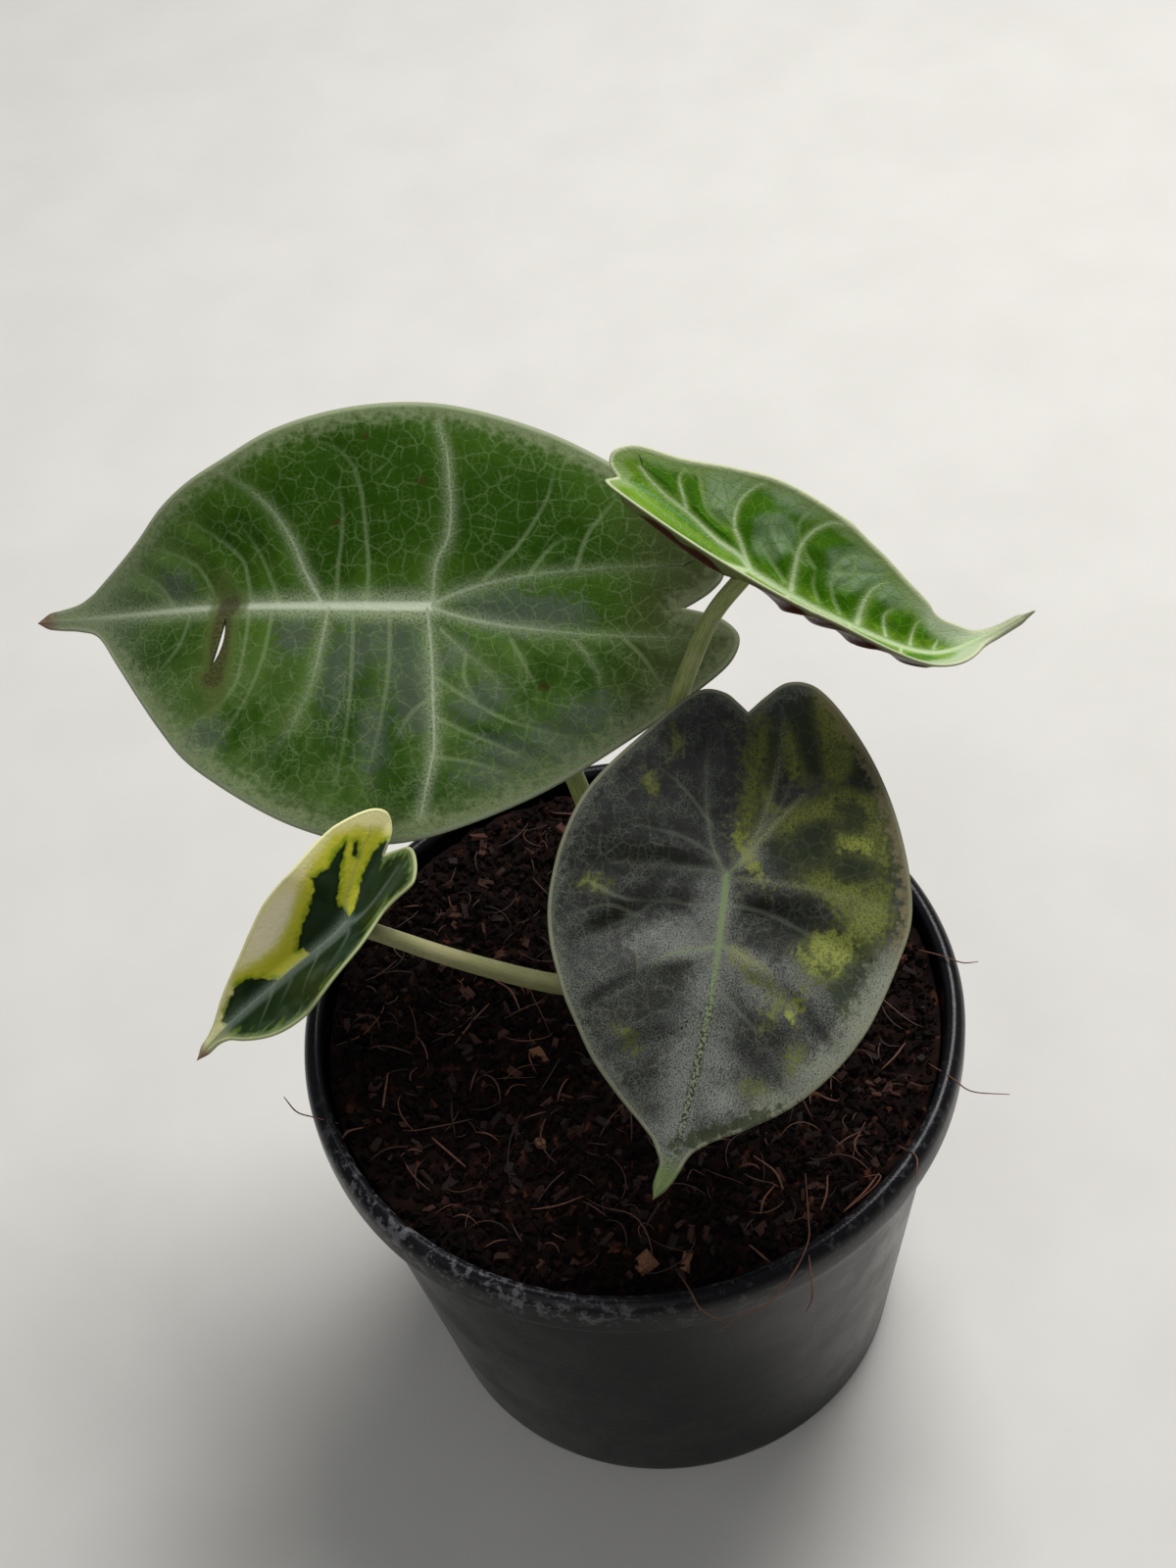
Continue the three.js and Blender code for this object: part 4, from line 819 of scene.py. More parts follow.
# %% Facts of the leaf as nodes
def leaf_nodes(tree, look):
    """The facts stored with the mesh, noises of several sizes in millimetres, two nets of fine veins, and
    products of these, for the layers of the look to use."""
    stored = ("strong", "strength", "glow", "weak", "weak_side", "rim", "panel", "half", "under")
    kinds = tuple(patches[look["leaf"]])
    facts = {key: (add(tree, "Attribute", attribute_name=key), "Fac") for key in stored + kinds}
    where = (add(tree, "Attribute", attribute_name="flat_mm"), "Vector")
    place = add(tree, "SeparateXYZ", {"Vector": where})
    facts.update(along=(place, "X"), across=(place, "Y"))

    # Size in mm, detail and roughness of each noise. The silver grain is the leaf's air pockets, of about
    # 0.1 mm: too fine to show, so the looks draw them as coarse as 0.3 to 0.4 mm.
    sizes = dict(cloud=(9, 3, 0.5), blotch=(4, 4, 0.6), fray=(1.6, 5, 0.65), fleck=(0.55, 1, 0.8),
                 grain=(look["grain_mm"], 2, 0.7), wrinkle=(0.9, 3, 0.5))
    for key, (mm, detail, rough) in sizes.items():
        wires = {"Vector": where, "Scale": 1 / mm, "Detail": detail, "Roughness": rough}
        facts[key] = (add(tree, "TexNoise", wires), "Fac")

    # Streaks along the leaf, about 1.2 mm broad and 4.4 mm long. A Mapping node scales before it turns, so
    # the turn leaves their direction alone and only picks another part of the noise.
    wires = {"Vector": where, "Scale": (0.25, 0.9, 1), "Rotation": (0, 0, -0.9)}
    streaks = add(tree, "Mapping", wires)
    facts["streak"] = (add(tree, "TexNoise", {"Vector": streaks, "Scale": 0.9, "Detail": 3.0}), "Fac")

    # Borders fray: the depth inside a patch moves by a noise of a few millimetres.
    wires = {"Value": facts["fray"], "From Min": 0.25, "From Max": 0.75}
    wires.update({"To Min": -look["fray_mm"], "To Max": look["fray_mm"]})
    frayed = add(tree, "MapRange", wires)
    for key in (*kinds, "along", "rim"):
        facts["ragged_" + key] = add(tree, "Math", {0: facts[key], 1: frayed})

    # Fine veins: the borders between cells of tissue, bent by a slow noise, wide cells and finer ones.
    swirl = add(tree, "TexNoise", {"Vector": where, "Scale": 0.45, "Detail": 1.0})
    for key, mm, shift in (("net", look["net_mm"], 1.2), ("fine_net", look["net_mm"] * 0.4, 0.7)):
        wires = {0: (swirl, "Color"), 1: (shift,) * 3, 2: where}
        moved = add(tree, "VectorMath", wires, operation="MULTIPLY_ADD")
        wires = {"Vector": moved, "Scale": 1 / mm}
        facts[key] = add(tree, "TexVoronoi", wires, feature="DISTANCE_TO_EDGE", voronoi_dimensions="2D")

    facts["off_line"] = add(tree, "Math", {0: facts["weak_side"]}, operation="ABSOLUTE")
    masked(tree, facts, {
        "netted": [("net", 0.1, 0.0), ("blotch", 0.28, 0.55)],
        "fine_netted": [("fine_net", 0.16, 0.0), ("blotch", 0.33, 0.65)],
        "line": [("off_line", 0.75, 0.05), ("weak", 0.0, 1.0)],
        "silver": [("glow", 0.0, 0.85), ("grain", 0.2, 0.6)],
        "core": [("strong", 1.3, 0.1), ("strength", 0.15, 1.1)],
        **look["masks"],
    })
    return facts


print("noises, nets and masks ready")

# %% Leaf skin
relief_depth = 0.16


def leaf_skin(name, look):
    """The look's layers above, its underside below, then the wax and the relief."""
    base = dict(IOR=1.42, Specular_IOR_Level=look["wax"], Coat_Weight=look["coat"], Coat_Roughness=0.22)
    material, tree, shader = skin(name, **base)
    facts = leaf_nodes(tree, look)
    colour = coloured(tree, facts, look["base"], look["layers"])
    below = [("fray", 0.3, 0.7, 0.6, look["below_light"]), *look["below_layers"]]
    sides = {"Factor": facts["under"], "A": colour, "B": coloured(tree, facts, look["below"], below)}
    skin_colour = add(tree, "Mix", sides, data_type="RGBA")
    tree.links.new(skin_colour.outputs[2], shader.inputs["Base Color"])

    # Wax: a little rougher where the silver lies. The relief of the nets is about 0.1 mm deep.
    dull = add(tree, "Math", {0: facts["glow"], 1: facts["cloud"]})
    wires = {"Value": dull, "From Min": 0.3, "From Max": 1.3}
    wires.update({"To Min": look["roughness"], "To Max": look["roughness"] + 0.2})
    tree.links.new(add(tree, "MapRange", wires).outputs[0], shader.inputs["Roughness"])
    height = facts["wrinkle"]
    for key, top, deep in (("net", 0.07, 0.5), ("fine_net", 0.12, 0.3), ("off_line", 0.6, 0.6)):
        wires = {"Value": facts[key], "From Max": top, "To Max": deep * look["relief"]}
        groove = add(tree, "MapRange", wires)
        height = add(tree, "Math", {0: height, 1: groove})
    bump = add(tree, "Bump", {"Height": height, "Strength": 0.5, "Distance": relief_depth / 1000})
    tree.links.new(bump.outputs[0], shader.inputs["Normal"])
    return material


print("leaf skin ready")

# %% [markdown]
# ## The large leaf
# The oldest leaf: leathery, nearly flat, with a wide silver margin, pale veins with a soft silver band,
# and a faint net in its greener fields. Its tip has dried to a pinkish brown. It differs from the others
# in its drawing and its table only, so the same two functions make it: the skin, then the blade, here
# with the tear. Its relief is low, because so old a leaf has stopped swelling. Its lobes carry painted
# shade from the folded leaf above them.

# %% Large leaf
large_look = dict(
    leaf="large", roughness=0.5, wax=0.07, coat=0.0, grain_mm=0.4, fray_mm=2.6, net_mm=3.0, relief=0.4,
    masks={
        "dusty": [("along", 40, 76), ("grain", 0.25, 0.6)],
        "edge": [("ragged_rim", 5.5, 0.4), ("grain", 0.1, 0.6)],
        "low_edge": [("ragged_rim", 9.0, 2.0), ("grain", 0.3, 0.6), ("across", 4, 16)],
        "dead": [("wound", -0.5, 0.5), ("fleck", 0.45, 0.6)],
        "greener": [("across", 3, -3), ("along", 56, 30)],
        "dusted": [("across", 3, 12), ("grain", 0.42, 0.62), ("blotch", 0.42, 0.62)],
    },
    base="#364d10", below="#4c6434", below_light="#5a7042",
    layers=[
        ("cloud", 0.4, 0.62, 0.7, "#42601a"), ("across", 2, 12, 0.5, "#4a6030"),
        ("along", 24, 62, 0.5, "#526638"), ("greener", 0, 1, 0.5, "#2a4a04"),
        ("ragged_deep", -4.5, 2.5, 0.9, "#1d3a00"), ("panel", 1.0, 4.5, 0.35, "#244200"),
        # The lobes' darker olive, along -26 to -46 mm: partly their own colour, partly painted shade of the
        # folded leaf above.
        ("ragged_grey_blue", -2.6, 1.6, 0.7, "#485247"), ("along", -26, -46, 0.8, "#30381a"),
        ("dusted", 0, 1, 0.35, "#66774f"), ("dusty", 0, 1, 0.7, "#79846c"),
        ("fine_netted", 0, 1, 0.13, "#7d9160"), ("netted", 0, 1, 0.17, "#829565"),
        ("line", 0, 1, 0.28, "#8c9d72"), ("silver", 0, 1, 0.76, "#929e7e"), ("core", 0, 1, 0.95, "#bdc6ab"),
        ("low_edge", 0, 1, 0.28, "#76835f"), ("edge", 0, 1, 0.6, "#828b69"),
        # Painted shade of the folded leaf over the lobes, along -30 to -48 mm, laid over their silver
        # margin.
        ("rim", 0.9, 0.2, 0.6, "#9ba286"), ("along", -30, -48, 0.55, "#33381f"),
        ("wound", -1.7, -0.7, 0.7, "#4d5a2a"), ("wound", -0.4, 0.6, 0.75, "#34331c"),
        ("dead", 0, 1, 0.4, "#615b3c"), ("speck", -0.5, 0.0, 0.6, "#36290f"),
        ("ragged_along", 77, 82, 0.85, "#7c5f4f"),
    ],
    below_layers=[("strong", 2.6, 0.8, 0.7, "#8b9a6e")],
)
large_skin = leaf_skin("waxy leaf, green under silver", large_look)
points, triangles, facts = blade("large", leaves["large"], 0.45, cell=0.53, torn=True)
large = piece("large_leaf", points, triangles, facts, large_skin)
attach(large, "root"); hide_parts("large_leaf_blade")

# %% [markdown]
# ## The folded leaf
# The youngest leaf, still half closed along its midrib. Its panels stand up like quilting between pale
# ribs, it is the glossiest of the four, and its underside is maroon. Bump alone would show no quilting
# on the outline of so steep a fold, so the blade itself swells, by nearly 1 mm, on a finer grid. The gloss
# in the middle of its panels is also painted, as pale sheen patches: painted highlights.

# %% Folded leaf
folded_look = dict(
    leaf="folded", roughness=0.3, wax=0.12, coat=0.07, grain_mm=0.42, fray_mm=0.7, net_mm=2.2, relief=0.9,
    masks={
        "edge": [("ragged_rim", 3.4, 1.2), ("grain", 0.0, 0.4)],
        "tip_edge": [("along", 22, 38), ("ragged_rim", 5.5, 1.8)],
        # The net of green lines that breaks up the painted highlights.
        "sheen_net": [("net", 0.14, 0.0), ("sheen", -1.0, 1.0)],
        "green_lobe": [("rim", 6.5, 4.5), ("along", 6, -2)],
    },
    base="#5c7f16", below="#35140f", below_light="#4a221a",
    layers=[
        ("cloud", 0.4, 0.65, 0.5, "#6c8f1c"), ("ragged_deep", -0.7, 0.6, 0.94, "#3c6a00"),
        # ragged_sheen: painted highlights on the panels; sheen_net: green net lines through them.
        ("blotch", 0.55, 0.7, 0.5, "#2b5400"), ("ragged_sheen", -1.8, 1.2, 0.82, "#8c9f7e"),
        ("sheen_net", 0, 1, 0.5, "#4f7d22"), ("netted", 0, 1, 0.2, "#86a650"),
        ("line", 0, 1, 0.55, "#93a96c"), ("edge", 0, 1, 0.7, "#81945c"),
        ("tip_edge", 0, 1, 0.85, "#a9b696"), ("silver", 0, 0.8, 0.65, "#8ea46c"),
        ("core", 0, 0.9, 0.9, "#b2c296"), ("rim", 0.8, 0.2, 0.8, "#bcc09c"),
        ("along", 42, 50, 0.8, "#9ba080"),
    ],
    below_layers=[("rim", 1.3, 0.5, 0.9, "#6f734b"), ("green_lobe", 0, 1, 0.95, "#66703e"),
                  ("strong", 2.4, 0.8, 0.4, "#5b3a2d")],
)
folded_skin = leaf_skin("young glossy leaf, quilted", folded_look)
points, triangles, facts = blade("folded", leaves["folded"], 0.95, cell=0.4, steps=48)
folded = piece("folded_leaf", points, triangles, facts, folded_skin)
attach(folded, "root"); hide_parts("folded_leaf_blade")

# %% [markdown]
# ## The grey leaf
# Half of this leaf is charcoal green under silver grains, the other half breaks out in yellow green. The
# blade is pleated: just past each strong vein it steps down, then rises slowly to the next one. Quilting
# can't give that, as it is even on both sides of a vein. The pleat is a saw-tooth wave along the midrib
# that fades out at the midrib and at the margin. Its light and shade are painted too: dark pucker ovals and
# a darker half as painted shade, lit ovals as painted highlights.

# %% Grey leaf
def pleat(start, across, rim):
    """Height: a falling ramp after each strong vein's foot, smoothed, times how far out the point lies."""
    feet = np.array([-26, -10, 4, 16, 28, 42, 60])
    share = np.interp(start, feet, np.arange(len(feet)))
    saw = share - np.floor(share)
    wave = np.where(saw < 0.3, 1 - smooth(saw / 0.3) * 2, -1 + smooth((saw - 0.3) / 0.7) * 2)
    return 0.65 * wave * smooth(np.abs(across) / 9) * smooth(rim / 6)


grey_look = dict(
    leaf="grey", roughness=0.46, wax=0.09, coat=0.0, grain_mm=0.32, fray_mm=2.2, net_mm=3.4, relief=0.4,
    masks={
        "air": [("grain", 0.42, 0.66), ("blotch", 0.36, 0.64)],
        "mid_air": [("grain", 0.36, 0.6), ("strong", 9.0, 1.0), ("along", -4, 14)],
        "tip_air": [("ragged_along", -2, 36), ("grain", 0.36, 0.62)],
        "dark_air": [("grain", 0.5, 0.3), ("fleck", 0.4, 0.6)],
        # The lit ovals over the silver grain: painted highlights.
        "painted_highlight_air": [("ragged_lit", -5.0, 3.0), ("grain", 0.25, 0.6)],
        "mottle": [("ragged_yellow", -1.0, 1.5), ("blotch", 0.42, 0.62)],
        "light_mottle": [("ragged_yellow", -0.8, 1.5), ("grain", 0.42, 0.6)],
        "grey_mottle": [("ragged_yellow", -1.0, 1.5), ("fray", 0.52, 0.66)],
        "specked": [("ragged_olive", -1.0, 2.0), ("fleck", 0.5, 0.62)],
        "edge": [("ragged_rim", 3.2, 0.6), ("grain", 0.25, 0.6)],
        "wide_edge": [("ragged_rim", 7.0, 1.8), ("across", 6, 14), ("along", 4, 16), ("grain", 0.25, 0.55)],
        "cream_edge": [("ragged_rim", 3.0, 0.4), ("across", 8, 16), ("along", 16, 4)],
        "flecks": [("strong", 2.6, 0.5), ("fleck", 0.46, 0.56), ("along", 4, 36)],
        "yellow_grain": [("glow", 0.05, 0.7), ("across", 0, 4), ("grain", 0.4, 0.6)],
    },
    base="#2b2c2a", below="#3c412f", below_light="#4a4f39",
    layers=[
        ("cloud", 0.38, 0.64, 0.7, "#3b3c3c"), ("blotch", 0.5, 0.7, 0.3, "#30372b"),
        # Painted shade: the half with negative across darker towards its margin, and the pucker ovals.
        ("across", -6, -22, 0.4, "#1c1f1a"), ("ragged_pucker", -2.8, 2.0, 0.85, "#15170f"),
        ("air", 0, 1, 0.45, "#63665f"), ("mid_air", 0, 1, 0.45, "#73756d"),
        ("tip_air", 0, 1, 0.45, "#72746d"), ("dark_air", 0, 1, 0.6, "#151712"),
        # The pucker ovals again as painted shade, then painted highlights on the silver grain in the lit
        # ovals.
        ("ragged_pucker", -3.2, 2.0, 0.75, "#1d1f19"), ("painted_highlight_air", 0, 1, 0.62, "#8f918a"),
        ("fine_netted", 0, 1, 0.16, "#74776a"), ("ragged_olive", -2.4, 1.6, 0.7, "#434826"),
        ("ragged_yellow", -1.8, 1.4, 0.8, "#686d30"), ("mottle", 0, 1, 0.6, "#3f4720"),
        ("light_mottle", 0, 1, 0.45, "#7d8348"), ("grey_mottle", 0, 1, 0.5, "#4d5136"),
        ("ragged_lemon", -1.2, 0.8, 0.8, "#8c9244"), ("specked", 0, 1, 0.5, "#2a3020"),
        ("ragged_island", -1.6, 1.0, 0.8, "#262d22"), ("netted", 0, 1, 0.12, "#74775f"),
        ("line", 0, 1, 0.24, "#7f8371"), ("silver", 0, 1, 0.6, "#85887a"),
        ("yellow_grain", 0, 1, 0.6, "#95925e"), ("core", 0, 1, 0.85, "#7f9262"),
        ("flecks", 0, 1, 0.85, "#1b2013"), ("edge", 0, 1, 0.45, "#6b6f60"),
        ("wide_edge", 0, 1, 0.75, "#858878"), ("cream_edge", 0, 1, 0.65, "#7a6f4c"),
        ("rim", 0.7, 0.2, 0.6, "#8b8c72"), ("ragged_turned", -0.9, 0.4, 0.8, "#2f361f"),
        ("ragged_along", 51, 55, 0.85, "#5a6a3e"),
    ],
    below_layers=[("strong", 2.6, 0.8, 0.7, "#6b7152")],
)
grey_skin = leaf_skin("waxy leaf, charcoal with yellow green", grey_look)
points, triangles, facts = blade("grey", leaves["grey"], 0.4, crease=pleat)
grey = piece("grey_leaf", points, triangles, facts, grey_skin)
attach(grey, "root"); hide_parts("grey_leaf_blade")

# %% [markdown]
# ## The small leaf
# The small leaf is the boldest: one half is cream outside and yellow towards the midrib, with dark green
# islands, the other half is dark blue green. The border between the colours is sharp, because it is a
# border between cell layers. One fact, the half that a point is on, switches the whole table, which is
# simpler than a second material, and keeps the midrib's line clean.

# %% Small leaf
small_look = dict(
    leaf="small", roughness=0.38, wax=0.2, coat=0.05, grain_mm=0.36, fray_mm=0.45, net_mm=2.4, relief=0.25,
    masks={
        "pale": [("half", 0.1, -0.1)],
        "gold": [("half", 0.1, -0.1), ("ragged_yellow", -3.2, 1.0)],
        "rosy": [("half", 0.1, -0.1), ("ragged_pink", -1.5, 1.5)],
        "fringe": [("half", 0.1, -0.1), ("ragged_island", -1.8, 0.0), ("blotch", 0.3, 0.6)],
        "isle": [("half", 0.1, -0.1), ("ragged_island", -0.45, 0.35)],
        "isle_light": [("half", 0.1, -0.1), ("ragged_island", 0.2, 0.8), ("cloud", 0.4, 0.62)],
        "streaks": [("half", -0.1, 0.1), ("ragged_rim", 4.2, 1.0), ("streak", 0.5, 0.62)],
        "lower_edge": [("half", -0.1, 0.1), ("ragged_rim", 2.0, 0.4)],
        "tip_pale": [("along", 27, 33)],
        "sheen": [("half", -0.1, 0.1), ("glow", 0.03, 0.5)],
        "grey_sheen": [("half", -0.1, 0.1), ("across", 2, 9), ("cloud", 0.4, 0.65)],
    },
    base="#17270f", below="#6b7244", below_light="#7c8354",
    layers=[
        ("cloud", 0.4, 0.62, 0.6, "#24371d"), ("grey_sheen", 0, 1, 0.5, "#3f4d3f"),
        ("sheen", 0, 1, 0.6, "#546155"), ("streaks", 0, 1, 0.7, "#5f782a"),
        ("lower_edge", 0, 1, 0.6, "#6f8152"), ("pale", 0, 1, 1.0, "#f4eaa8"),
        ("rosy", 0, 1, 0.75, "#f5e8c8"), ("gold", 0, 1, 0.92, "#c2c01a"), ("fringe", 0, 1, 0.85, "#7a930c"),
        ("isle", 0, 1, 1.0, "#1a2b12"), ("isle_light", 0, 1, 0.6, "#2c3e26"),
        ("line", 0, 1, 0.25, "#7d8e70"), ("silver", 0, 1, 0.5, "#7c897a"), ("core", 0, 1, 0.5, "#8d9780"),
        ("tip_pale", 0, 1, 0.6, "#8f9268"), ("rim", 0.6, 0.15, 0.5, "#c3c694"),
        ("ragged_along", 34, 37, 0.85, "#7c5a4b"),
    ],
    below_layers=[("strong", 2.6, 0.8, 0.6, "#93986c")],
)
small_skin = leaf_skin("waxy leaf, half cream", small_look)
points, triangles, facts = blade("small", leaves["small"], 0.3, cell=0.32, steps=44)
small = piece("small_leaf", points, triangles, facts, small_skin)
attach(small, "root"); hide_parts("small_leaf_blade")

# %% [markdown]
# ## The stalks
# A leaf stalk is a smooth round rod of soft tissue, thickest at its foot, where it clasps the stem. A
# curve object with a bevel makes such a rod too, but gives its material no measure of the way along. So
# each one is a circle carried along the curve of its path. The rings are turned as little as possible
# from one to the next, so that the faint stripes run straight along it.

# %% Stalks
def carried(path, radii, sides, steps):
    """A tube: at each step a ring of points at the radius there, in the plane square to the path. The first
    side direction is made square to each heading in turn, which keeps the rings from twisting."""
    t = np.linspace(0, 1, 40 * len(path))
    fine = through(path, t)
    length = np.r_[0, np.cumsum(np.linalg.norm(np.diff(fine, axis=0), axis=1))]
    even = np.interp(np.linspace(0, length[-1], steps + 1), length, t)
    centre, ahead = through(path, even), heading(path, even)
    side = np.empty_like(ahead)
    last = np.cross(ahead[0], (0.3, 1, 0.2))
    for i, way in enumerate(ahead):
        last = unit(last - way * (last @ way))
        side[i] = last
    up = np.cross(ahead, side)
    a = np.linspace(0, 2 * np.pi, sides, endpoint=False)
    r = np.interp(np.linspace(0, 1, steps + 1), np.linspace(0, 1, len(radii)), radii)[:, None, None]
    ring = centre[:, None] + r * (np.cos(a)[:, None] * side[:, None] + np.sin(a)[:, None] * up[:, None])
    points = np.concatenate([ring.reshape(-1, 3), centre[:1], centre[-1:]])
    t = grid_triangles(steps + 1, sides, around=True)
    k = np.arange(sides)
    n, low, high, last_ring = (k + 1) % sides, len(points) - 2, len(points) - 1, steps * sides
    caps = [np.stack([0 * k + low, n, k], 1), np.stack([0 * k + high, k + last_ring, n + last_ring], 1)]
    around = np.concatenate([np.tile(a, steps + 1), [0, 0]])
    run = np.concatenate([np.repeat(np.linspace(0, length[-1], steps + 1), sides), [0, length[-1]]])
    return points, np.concatenate([t[:, ::-1], *caps]), dict(around=around, run=run)


# Smooth wet tissue: a soft gloss, and stripes, blotches of 6 mm and specks of 0.7 mm in its pale green.
# The stripes are a noise on a unit circle round the stalk, drawn out to 20 mm for one step along it.
stripe_length = 20
base = dict(Roughness=0.42, IOR=1.42, Specular_IOR_Level=0.2)
stalk_skin, tree, shader = skin("fleshy leaf stalk, pale green", **base)
facts = {key: (add(tree, "Attribute", attribute_name=key), "Fac") for key in ("run", "around", "cream")}
slow = add(tree, "Math", {0: facts["run"], 1: 1 / stripe_length}, operation="MULTIPLY")
sine, cosine = [add(tree, "Math", {0: facts["around"]}, operation=kind) for kind in ("SINE", "COSINE")]
turned = add(tree, "CombineXYZ", {0: slow, 1: sine, 2: cosine})
facts["stripes"] = (add(tree, "TexNoise", {"Vector": turned, "Scale": 5.0, "Detail": 3.0}), "Fac")
place = (add(tree, "TexCoord"), "Object")
facts["blotches"] = (add(tree, "TexNoise", {"Vector": place, "Scale": every(6.25)}), "Fac")
facts["specks"] = (add(tree, "TexNoise", {"Vector": place, "Scale": every(0.7143), "Detail": 1.0}), "Fac")
colour = coloured(tree, facts, "#7a8749", [
    ("stripes", 0.35, 0.65, 1.0, "#949e62"), ("cream", 0, 1, 0.65, "#857e60"),
    ("blotches", 0.45, 0.7, 0.35, "#a49c78"), ("specks", 0.6, 0.72, 0.35, "#6f6a42"),
    ("run", 30.0, 4.0, 0.5, "#7d6a4c"),
])
tree.links.new(colour.outputs[2], shader.inputs["Base Color"])
bump = add(tree, "Bump", {"Height": facts["stripes"], "Strength": 0.35, "Distance": 0.0002})
tree.links.new(bump.outputs[0], shader.inputs["Normal"])

stalk_paths = {
    "large": [(1.6, 10.4, 98), (0.5, 17, 116.5), (-4, 28, 138.5), (-9.5, 37, 154.5), (-20, 47.5, 165)],
    "folded": [(6.4, 10.4, 98), (8.7, 15.3, 118), (11.8, 17.5, 142), (14.2, 17.4, 158), (16.2, 17, 169.5),
               (19.3, 18.8, 177), (24.3, 22, 185.5)],
    "grey": [(6.4, 5.6, 98), (12, 3, 120), (19, -3.5, 141)],
    "small": [(1.6, 5.6, 98.5), (-2, 2.1, 106), (-12.5, -3.4, 117), (-28.7, -5.3, 131), (-41.3, -4.7, 141)],
}
below_hub, foot_radii, stalk_radius = 1.2, [2.5, 2.25, 2.1], 2.0
thin_ends = dict(large=1.7, folded=1.6, grey=1.7, small=1.6)
for name, path in stalk_paths.items():
    at, face = bend_leaf(leaves[name], np.zeros(1), np.zeros(1))
    path = [*path, tuple(at[0] - below_hub * face[0])]
    radii = [*foot_radii, *np.linspace(stalk_radius, thin_ends[name], 8), thin_ends[name]]
    points, triangles, facts = carried(path, radii, sides=28, steps=110)
    facts["cream"] = np.full(len(points), 1.0 if name == "small" else 0.0)
    stalk = piece(name + "_stalk", points, triangles, facts, stalk_skin)
    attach(stalk, "root"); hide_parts(name + "_leaf_stalk")

# %% [markdown]
# ## The stem with its roots
# The stem and its roots lie inside the coir, where nobody sees more of them than the stem's top. A finer
# mesh would be wasted, so the solid model's own piece stays, and gets the corky skin of such a stem.

# %% Stem skin
# Cork grain of 3 mm, and the scars of old leaves as rings every 2.6 mm: a wave of scale 1 has a ring every
# tenth part of pi.
stem_skin, tree, shader = skin("corky stem and roots", Roughness=0.8)
place = (add(tree, "TexCoord"), "Object")
wires = {"Vector": place, "Scale": math.pi / 10 * every(2.618), "Distortion": 3.0}
facts = dict(
    grain=(add(tree, "TexNoise", {"Vector": place, "Scale": every(3.125), "Detail": 5.0}), "Fac"),
    rings=(add(tree, "TexWave", wires, bands_direction="Z"), "Fac"),
)
colour = coloured(tree, facts, "#5b4426", [("grain", 0.2, 0.8, 1.0, "#a08458"),
                                           ("rings", 0, 1, 0.4, "#3a2a18")])
tree.links.new(colour.outputs[2], shader.inputs["Base Color"])
bump = add(tree, "Bump", {"Height": facts["grain"], "Strength": 0.6, "Distance": 0.0005})
tree.links.new(bump.outputs[0], shader.inputs["Normal"])
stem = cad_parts["stem_with_roots"]
stem.data.materials.clear()
stem.data.materials.append(stem_skin)
print("stem keeps its solid:", len(stem.data.polygons), "faces")

# %% [markdown]
# ## The coir
# The pot is filled with coconut fibre: damp crumbs of 1 to 3 mm with dark gaps between them, flakes of
# husk, and loose fibres, some of them over the rim. A bumpy surface alone looks like tar, and a particle
# system is lost in an export. So the bed is one rough surface, and crumbs, flakes and fibres lie on it as
# one mesh each, made all at once as arrays.

# %% The bed of coir
soil_top, mound, mound_radius, stem_at = 95.3, 1.5, 22, (4, 8)
bed_radius, bed_edge, bed_foot_radius, bed_foot = 60.1, 91.5, 47.4, 2.2


def lattice(x, y, size, seed):
    """Smooth noise from -1 to 1: random heights on a square lattice, blended with a smooth step."""
    table = np.random.default_rng(seed).uniform(-1, 1, (64, 64))
    u, v = x / size + 1000, y / size + 1000
    i, j = np.floor(u).astype(int), np.floor(v).astype(int)
    fu, fv = smooth(u - i), smooth(v - j)

    def corner(di, dj):
        return table[(i + di) % 64, (j + dj) % 64]

    low = corner(0, 0) * (1 - fu) + corner(1, 0) * fu
    return low * (1 - fv) + (corner(0, 1) * (1 - fu) + corner(1, 1) * fu) * fv


def ground(x, y, rough=1.0):
    """Two crossed waves, a mound round the stem, and crumbs as three sizes of noise."""
    waves = np.sin(x / 5.3 + 1.3) * np.cos(y / 6.1) + 0.7 * np.sin(x / 2.9 - y / 3.3 + 2)
    heap = mound * np.exp(-((np.hypot(x - stem_at[0], y - stem_at[1]) / mound_radius) ** 2))
    crumbs = 0.7 * lattice(x, y, 3.1, 1) + 0.5 * np.abs(lattice(x, y, 1.7, 2)) + 0.3 * lattice(x, y, 0.9, 3)
    return soil_top + heap + 0.8 * waves + rough * crumbs


rings, sectors = 105, 380
r = np.linspace(0, bed_radius, rings)[:, None]
a = np.linspace(0, 2 * np.pi, sectors, endpoint=False)
x, y = r * np.cos(a), r * np.sin(a)
top = np.stack([x, y, ground(x, y)], -1)
below = ((bed_radius, bed_edge), (bed_foot_radius, bed_foot), (0, bed_foot))
sides = [np.stack([k * np.cos(a), k * np.sin(a), 0 * a + z], -1) for k, z in below]
points = np.concatenate([top.reshape(-1, 3), *sides])
triangles = grid_triangles(rings + 3, sectors, around=True)
tone = lattice(points[:, 0], points[:, 1], 2.2, 4) / 2 + 0.5
points, triangles, values = closed(points, triangles, tone=tone)

